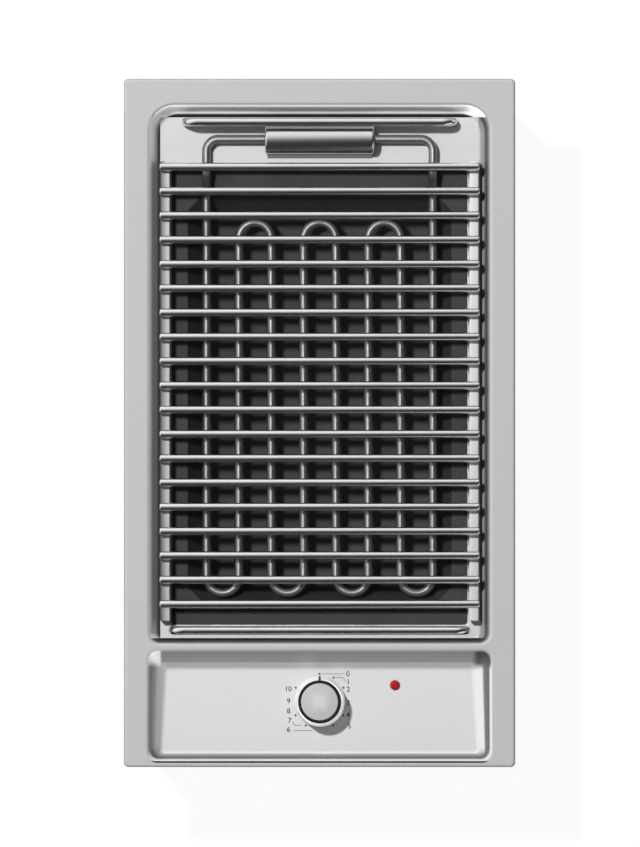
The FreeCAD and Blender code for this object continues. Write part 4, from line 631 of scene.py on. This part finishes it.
bars = {"count": 19, "first": 189.8, "pitch": 18.0, "level": 104.5, "radius": 3.1, "halfLength": 118.7, "end": 1.3,
        "sides": 40}
firstBar = startTube("gridBar01", (-bars["halfLength"], bars["first"], bars["level"]), (1, 0, 0), bars["radius"],
                     bars["sides"])
runOn((2 * bars["halfLength"], 0, 0))
endTube(firstBar, bars["end"])
barPieces = [firstBar]
for index in range(1, bars["count"]):
    pickOnly(firstBar)
    bpy.ops.object.duplicate(linked=False)
    copied = bpy.context.object
    copied.name = f"gridBar{index + 1:02d}"
    copied.location.y = -index * bars["pitch"] * mm
    applyPlace(copied)
    barPieces.append(copied)
for index, piece in enumerate(barPieces):
    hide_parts(f"grid_bar_{index + 1:02d}")
    dress(piece, rodSteel, "grid")
print("grid bars built")


rails = {"inner": 110.9, "outer": 118.1, "low": 94.3, "high": 101.4, "front": -147.0, "rear": 194.0, "round": 1.2}
spans = [(rails[low], rails[high]) for low, high in (("inner", "outer"), ("front", "rear"), ("low", "high"))]
for side, label in ((-1, "Left"), (1, "Right")):
    x, y, z = ((low + high) / 2 * mm for low, high in spans)
    deselectAll()
    bpy.ops.mesh.primitive_cube_add(size=1, location=(side * x, y, z))
    rail = bpy.context.object
    rail.name = f"gridRail{label}"
    rail.scale = [(high - low) * mm for low, high in spans]
    applyPlace(rail)
    bevel = rail.modifiers.new("edges", "BEVEL")
    bevel.width = rails["round"] * mm
    bevel.segments = 4
    applyModifiers(rail)
    smoothShade(rail, 50)
    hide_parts(f"grid_rail_{label.lower()}")
    dress(rail, railSteel, "grid")


rods = {"radius": 3.1, "level": 104.5, "foot": 94.0, "bend": 8.0, "sides": 40,
        "rear": {"place": 223.0, "half": 99.2}, "front": {"place": -153.8, "half": 109.1}}
for name in ("rear", "front"):
    place, half, turn = rods[name]["place"], rods[name]["half"], rods["bend"]
    rod = startTube(f"{name}StopRod", (-half, place, rods["foot"]), (0, 0, 1), rods["radius"], rods["sides"])
    runOn((0, 0, rods["level"] - rods["foot"] - turn))
    bendOn((-half + turn, place, rods["level"] - turn), (0, 1, 0), 90, 12)
    runOn((2 * (half - turn), 0, 0))
    bendOn((half - turn, place, rods["level"] - turn), (0, 1, 0), 90, 12)
    runOn((0, 0, -(rods["level"] - rods["foot"] - turn)))
    endTube(rod, 0)
    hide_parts(f"{name}_stop_rod")
    dress(rod, rodSteel, "hob")
print("rails and stop rods built")


element = {"radius": 3.2, "sides": 36, "axisLevel": 97.5, "flatLevel": 82.0, "pivot": 210.5, "tubeEnd": 22.0,
           "outer": 84.0, "leadBend": 9.0, "dipStart": 189.5, "dipBend": 11.0, "dipAngle": 45.0,
           "pitch": 24.0, "rearLoop": 136.8, "frontLoop": 114.2}


def buildElement():
    e = element
    rise = e["dipBend"] * (1 - math.cos(math.radians(e["dipAngle"])))
    reach = e["dipBend"] * math.sin(math.radians(e["dipAngle"]))
    drop = e["axisLevel"] - e["flatLevel"]
    slope = (drop - 2 * rise) / math.sin(math.radians(e["dipAngle"]))
    slopeRun = slope * math.cos(math.radians(e["dipAngle"]))
    slopeDrop = slope * math.sin(math.radians(e["dipAngle"]))
    dipEnd = e["dipStart"] - 2 * reach - slopeRun
    x = -e["outer"]
    tube = startTube("foldedElement", (-e["tubeEnd"], e["pivot"], e["axisLevel"]), (-1, 0, 0), e["radius"], e["sides"])
    runOn((-(e["outer"] - e["leadBend"] - e["tubeEnd"]), 0, 0))
    bendOn((x + e["leadBend"], e["pivot"] - e["leadBend"], e["axisLevel"]), (0, 0, 1), 90, 12)
    runOn((0, -(e["pivot"] - e["leadBend"] - e["dipStart"]), 0))
    bendOn((x, e["dipStart"], e["axisLevel"] - e["dipBend"]), (1, 0, 0), e["dipAngle"], 8)
    runOn((0, -slopeRun, -slopeDrop))
    bendOn((x, dipEnd, e["flatLevel"] + e["dipBend"]), (1, 0, 0), -e["dipAngle"], 8)
    runOn((0, -(dipEnd + e["frontLoop"]), 0))
    radius = e["pitch"] / 2
    for run in range(7):
        x = (run - 3.5) * e["pitch"]
        atFront = run % 2 == 0
        loopPlace = -e["frontLoop"] if atFront else e["rearLoop"]
        bendOn((x + radius, loopPlace, e["flatLevel"]), (0, 0, 1), 180 if atFront else -180, 20)
        if run < 6:
            runOn((0, (e["rearLoop"] + e["frontLoop"]) * (1 if atFront else -1), 0))
    x = e["outer"]
    runOn((0, dipEnd + e["frontLoop"], 0))
    bendOn((x, dipEnd, e["flatLevel"] + e["dipBend"]), (1, 0, 0), e["dipAngle"], 8)
    runOn((0, slopeRun, slopeDrop))
    bendOn((x, e["dipStart"], e["axisLevel"] - e["dipBend"]), (1, 0, 0), -e["dipAngle"], 8)
    runOn((0, e["pivot"] - e["leadBend"] - e["dipStart"], 0))
    bendOn((x - e["leadBend"], e["pivot"] - e["leadBend"], e["axisLevel"]), (0, 0, 1), 90, 12)
    runOn((-(e["outer"] - e["leadBend"] - e["tubeEnd"]), 0, 0))
    endTube(tube, 0)
    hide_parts("heating_element")
    return dress(tube, sheath, "element")


buildElement()
print("element built")


# A copy of a CAD node whose shape is right and whose curved faces only need smooth shading.
def smoothCopy(node, name, material, body):
    piece = bpy.data.objects.new(name, nodes[node].data.copy())
    bpy.context.scene.collection.objects.link(piece)
    editAll(piece)
    bpy.ops.mesh.remove_doubles(threshold=1e-6)
    bpy.ops.mesh.customdata_custom_splitnormals_clear()
    leaveEdit()
    smoothShade(piece, 30)
    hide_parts(node)
    return dress(piece, material, body)


smoothCopy("element_cover", "halfRoundCover", coverSteel, "hob")
smoothCopy("drip_tray", "trayPan", trayEnamel, "tray")
smoothCopy("well_tub", "tubFrame", galvanised, "hob")
smoothCopy("knob_cap", "knobDisc", spunCap, "knob")
smoothCopy("knob_skirt", "knobSkirt", skirtMetal, "knob")
smoothCopy("knob_body", "knobCore", blackMoulding, "knob")
smoothCopy("lamp_lens", "pilotLens", redLens, "hob")
smoothCopy("cable_grommet", "cordGrommet", mouldedRubber, "hob")
print("smooth copies made")


dial = {"floor": 94.0, "ink": 0.06, "dotCircle": 20.5, "dotRadius": 0.75, "digit": 5.4, "bold": 0.05, "line": 0.35,
        "dots": (0, 1, 2, 4, 5, 7, 8, 10), "dotPitch": 30,
        "numbers": {"0": (21.0, -186.2), "1": (21.3, -192.2), "2": (21.3, -197.7), "3": (21.3, -207.8),
                    "4": (21.2, -216.5), "5": (22.1, -224.9), "6": (-23.0, -227.5), "7": (-22.2, -220.8),
                    "8": (-23.0, -213.7), "9": (-23.0, -206.3), "10": (-23.3, -197.4)},
        "lines": [[(1.6, -186.1), (18.6, -186.1)], [(11.6, -188.8), (17.2, -188.8), (19.2, -191.6)],
                  [(-18.8, -228.2), (-5.6, -228.2)], [(-13.7, -224.3), (-18.4, -224.3), (-19.9, -221.6)]]}


def printOn(piece, name):
    piece.name = name
    applyPlace(piece)
    dress(piece, dialInk, "hob")


inkLevel = dial["floor"] + dial["ink"] / 2
for index in dial["dots"]:
    angle = math.radians(90 - dial["dotPitch"] * index)
    x = knobCentre[0] + dial["dotCircle"] * math.cos(angle)
    y = knobCentre[1] + dial["dotCircle"] * math.sin(angle)
    deselectAll()
    bpy.ops.mesh.primitive_cylinder_add(vertices=24, radius=dial["dotRadius"] * mm, depth=dial["ink"] * mm,
                                        location=(x * mm, y * mm, inkLevel * mm))
    printOn(bpy.context.object, f"dialDot{index:02d}")
for text, (x, y) in dial["numbers"].items():
    deselectAll()
    bpy.ops.object.text_add(location=(x * mm, y * mm, dial["floor"] * mm))
    label = bpy.context.object
    label.data.body = text
    label.data.align_x = "CENTER"
    label.data.align_y = "CENTER"
    label.data.size = dial["digit"] * mm
    label.data.extrude = dial["ink"] / 2 * mm
    label.data.offset = dial["bold"] * mm
    bpy.ops.object.convert(target="MESH")
    printOn(bpy.context.object, f"dialNumber{text}")
for index, points in enumerate(dial["lines"]):
    for part, (start, end) in enumerate(zip(points, points[1:])):
        a, b = Vector(start), Vector(end)
        middle, span = (a + b) / 2, b - a
        deselectAll()
        bpy.ops.mesh.primitive_cube_add(size=1, location=(middle.x * mm, middle.y * mm, inkLevel * mm),
                                        rotation=(0, 0, math.atan2(span.y, span.x)))
        bpy.context.object.scale = ((span.length + dial["line"]) * mm, dial["line"] * mm, dial["ink"] * mm)
        printOn(bpy.context.object, f"dialLine{index}{part}")
print("dial printed")


carried = {
    "worktop_seal": foamRubber, "casing_left": galvanised, "casing_right": galvanised, "casing_front": galvanised,
    "casing_rear": galvanised, "base_cover": galvanised, "left_hanger": galvanised, "right_hanger": galvanised,
    "casing_screws": zincPlate, "worktop_clamps": galvanised, "heat_shield": galvanised,
    "element_cradle": galvanised, "pivot_bushes": plainBrass, "cover_screws": zincPlate, "lead_grommet": mouldedRubber,
    "energy_regulator": blackMoulding, "regulator_terminals": plainBrass, "regulator_screws": zincPlate,
    "regulator_shaft": zincPlate, "knob_clip": zincPlate, "lamp_body": blackMoulding, "lamp_clip": zincPlate,
    "terminal_block": paleMoulding, "terminal_screws": plainBrass, "element_insulators": steatite,
    "element_pins": zincPlate,
}
for node, material in carried.items():
    nodes[node].data.materials.clear()
    nodes[node].data.materials.append(material)
print("CAD nodes dressed")


# Most of the light comes from behind and to the left. A polished rod shows the surroundings as a bright line
# towards that side, fading to black on the far side. The high lamp lights only what lies deep under the grid, where
# it throws short shadows, the side lamp the rest, and the rim lamp the knob's skirt.
deepPieces = ("trayPan", "tubFrame", "foldedElement")
studio = {
    "lamps": {
        "highLamp": {"direction": (-0.2, 0.12, 1.0), "distance": 6.0, "size": 0.5, "power": 120,
                     "state": "INCLUDE", "pieces": deepPieces},
        "sideLamp": {"direction": (-0.47, 0.5, 1.0), "distance": 6.0, "size": 0.5, "power": 850, "state": "EXCLUDE",
                     "pieces": (*deepPieces, "halfRoundCover", *(piece.name for piece in barPieces)),
                     "shadowless": ("frontStopRod", "gridBar19")},
        "rimLamp": {"direction": (0.6, -0.65, 0.6), "distance": 3.0, "size": 0.6, "power": 110,
                    "state": "INCLUDE", "pieces": ("knobSkirt",)}},
    # Brightness of the surroundings from the front right to the rear left, and for matt surfaces from front to rear.
    "tones": ((0.0, 1.0), (0.08, 0.85), (0.12, 0.01), (0.25, 0.01), (0.424, 0.06), (0.5, 0.18), (0.6, 0.5), (0.74, 1.0),
              (0.874, 1.1)),
    "soft": ((0.0, 1.6), (0.1, 1.0), (0.2, 0.15), (0.6, 0.05), (1.0, 0.03)),
    "leftShare": 0.85, "reach": 1.32, "secondBounce": 0.1, "floorSize": 8, "floorGlow": 0.95, "underGlow": 0.3}


def buildStudio():
    s = studio
    # Light mirrored off one bar doesn't light its neighbours, which would fill their dark sides with specks.
    bpy.context.scene.cycles.caustics_reflective = False
    world = bpy.data.worlds.new("studio")
    bpy.context.scene.world = world
    world.use_nodes = True
    tree = world.node_tree
    tree.nodes.clear()
    place = addNode(tree, "ShaderNodeTexCoord")
    split = addNode(tree, "ShaderNodeSeparateXYZ", {"Vector": place.outputs["Generated"]})
    # Zero straight to the front and right, a half overhead, one straight to the rear and left.
    left = addNode(tree, "ShaderNodeMath", {0: split.outputs["X"], 1: -s["leftShare"]}, operation="MULTIPLY")
    across = addNode(tree, "ShaderNodeMath", {0: split.outputs["Y"], 1: left.outputs["Value"]}, operation="ADD")
    share = addNode(tree, "ShaderNodeMapRange", {"Value": across.outputs["Value"], "From Min": -s["reach"],
                                                 "From Max": s["reach"]})
    # Matt surfaces are filled from the front, which opens up the walls that face that way.
    behind = addNode(tree, "ShaderNodeMapRange", {"Value": split.outputs["Y"], "From Min": -1.0, "From Max": 1.0})
    mirrored, fill = (addRamp(tree, node.outputs["Result"], [(spot, (tone, tone, tone, 1.0)) for spot, tone in tones])
                      for node, tones in ((share, s["tones"]), (behind, s["soft"])))
    rays = addNode(tree, "ShaderNodeLightPath")
    # A second mirror bounce between the bars brings hardly any light.
    deepBounce = spread(tree, rays.outputs["Glossy Depth"], 1.0, s["secondBounce"], 1.0, 2.0)
    glossy = addNode(tree, "ShaderNodeBackground", {"Color": mirrored, "Strength": deepBounce})
    soft = addNode(tree, "ShaderNodeBackground", {"Color": fill, "Strength": 1.0})
    white = addNode(tree, "ShaderNodeBackground", {"Color": (1, 1, 1, 1), "Strength": 1.0})
    shiny = addNode(tree, "ShaderNodeMath", {0: rays.outputs["Is Glossy Ray"], 1: rays.outputs["Is Transmission Ray"]},
                    operation="MAXIMUM")
    first = addNode(tree, "ShaderNodeMixShader", {"Fac": shiny.outputs["Value"], 1: soft.outputs["Background"],
                                                  2: glossy.outputs["Background"]})
    last = addNode(tree, "ShaderNodeMixShader", {"Fac": rays.outputs["Is Camera Ray"], 1: first.outputs["Shader"],
                                                 2: white.outputs["Background"]})
    output = addNode(tree, "ShaderNodeOutputWorld")
    tree.links.new(last.outputs["Shader"], output.inputs["Surface"])

    for name, setting in s["lamps"].items():
        lamp = bpy.data.lights.new(name, "AREA")
        lamp.shape = "DISK"
        lamp.size = setting["size"]
        lamp.energy = setting["power"]
        lampObject = bpy.data.objects.new(name, lamp)
        # The side lamp has no mirror image, because it would dazzle on the plate from the front.
        lampObject.visible_glossy = name != "sideLamp"
        toLight = Vector(setting["direction"]).normalized()
        lampObject.location = toLight * setting["distance"]
        lampObject.rotation_mode = "QUATERNION"
        lampObject.rotation_quaternion = toLight.to_track_quat("Z", "Y")
        bpy.context.scene.collection.objects.link(lampObject)
        reached = bpy.data.collections.new(name + "Reach")
        for piece in setting["pieces"]:
            reached.objects.link(bpy.data.objects[piece])
        for entry in reached.collection_objects:
            entry.light_linking.link_state = setting["state"]
        lampObject.light_linking.receiver_collection = reached
        if "shadowless" in setting:
            passed = bpy.data.collections.new(name + "Pass")
            for piece in setting["shadowless"]:
                passed.objects.link(bpy.data.objects[piece])
            for entry in passed.collection_objects:
                entry.light_linking.link_state = "EXCLUDE"
            lampObject.light_linking.blocker_collection = passed

    # Pale floor: nearly white to the camera, and it still takes the object's shadow.
    deselectAll()
    bpy.ops.mesh.primitive_plane_add(size=s["floorSize"], location=(0, 0, -0.5 * mm))
    floor = bpy.context.object
    floor.name = "floor"
    material = bpy.data.materials.new("paleFloor")
    material.use_nodes = True
    floorTree = material.node_tree
    floorTree.nodes.clear()
    matt = addNode(floorTree, "ShaderNodeBsdfDiffuse", {"Color": hexToLinear("#F4F4F4")})
    glow = addNode(floorTree, "ShaderNodeEmission", {"Color": (1, 1, 1, 1), "Strength": 1.0})
    path = addNode(floorTree, "ShaderNodeLightPath")
    seen = addNode(floorTree, "ShaderNodeMath", {0: path.outputs["Is Camera Ray"], 1: s["floorGlow"] - s["underGlow"],
                                                   2: s["underGlow"]}, operation="MULTIPLY_ADD")
    mixed = addNode(floorTree, "ShaderNodeMixShader", {"Fac": seen.outputs["Value"], 1: matt.outputs["BSDF"],
                                                       2: glow.outputs["Emission"]})
    # Clear from below, so that the underside can be looked at.
    side = addNode(floorTree, "ShaderNodeNewGeometry")
    clear = addNode(floorTree, "ShaderNodeBsdfTransparent")
    both = addNode(floorTree, "ShaderNodeMixShader", {"Fac": side.outputs["Backfacing"], 1: mixed.outputs["Shader"],
                                                      2: clear.outputs["BSDF"]})
    end = addNode(floorTree, "ShaderNodeOutputMaterial")
    floorTree.links.new(both.outputs["Shader"], end.inputs["Surface"])
    floor.data.materials.append(material)


buildStudio()
bpy.context.scene.view_settings.view_transform = "Standard"
print("studio lit")
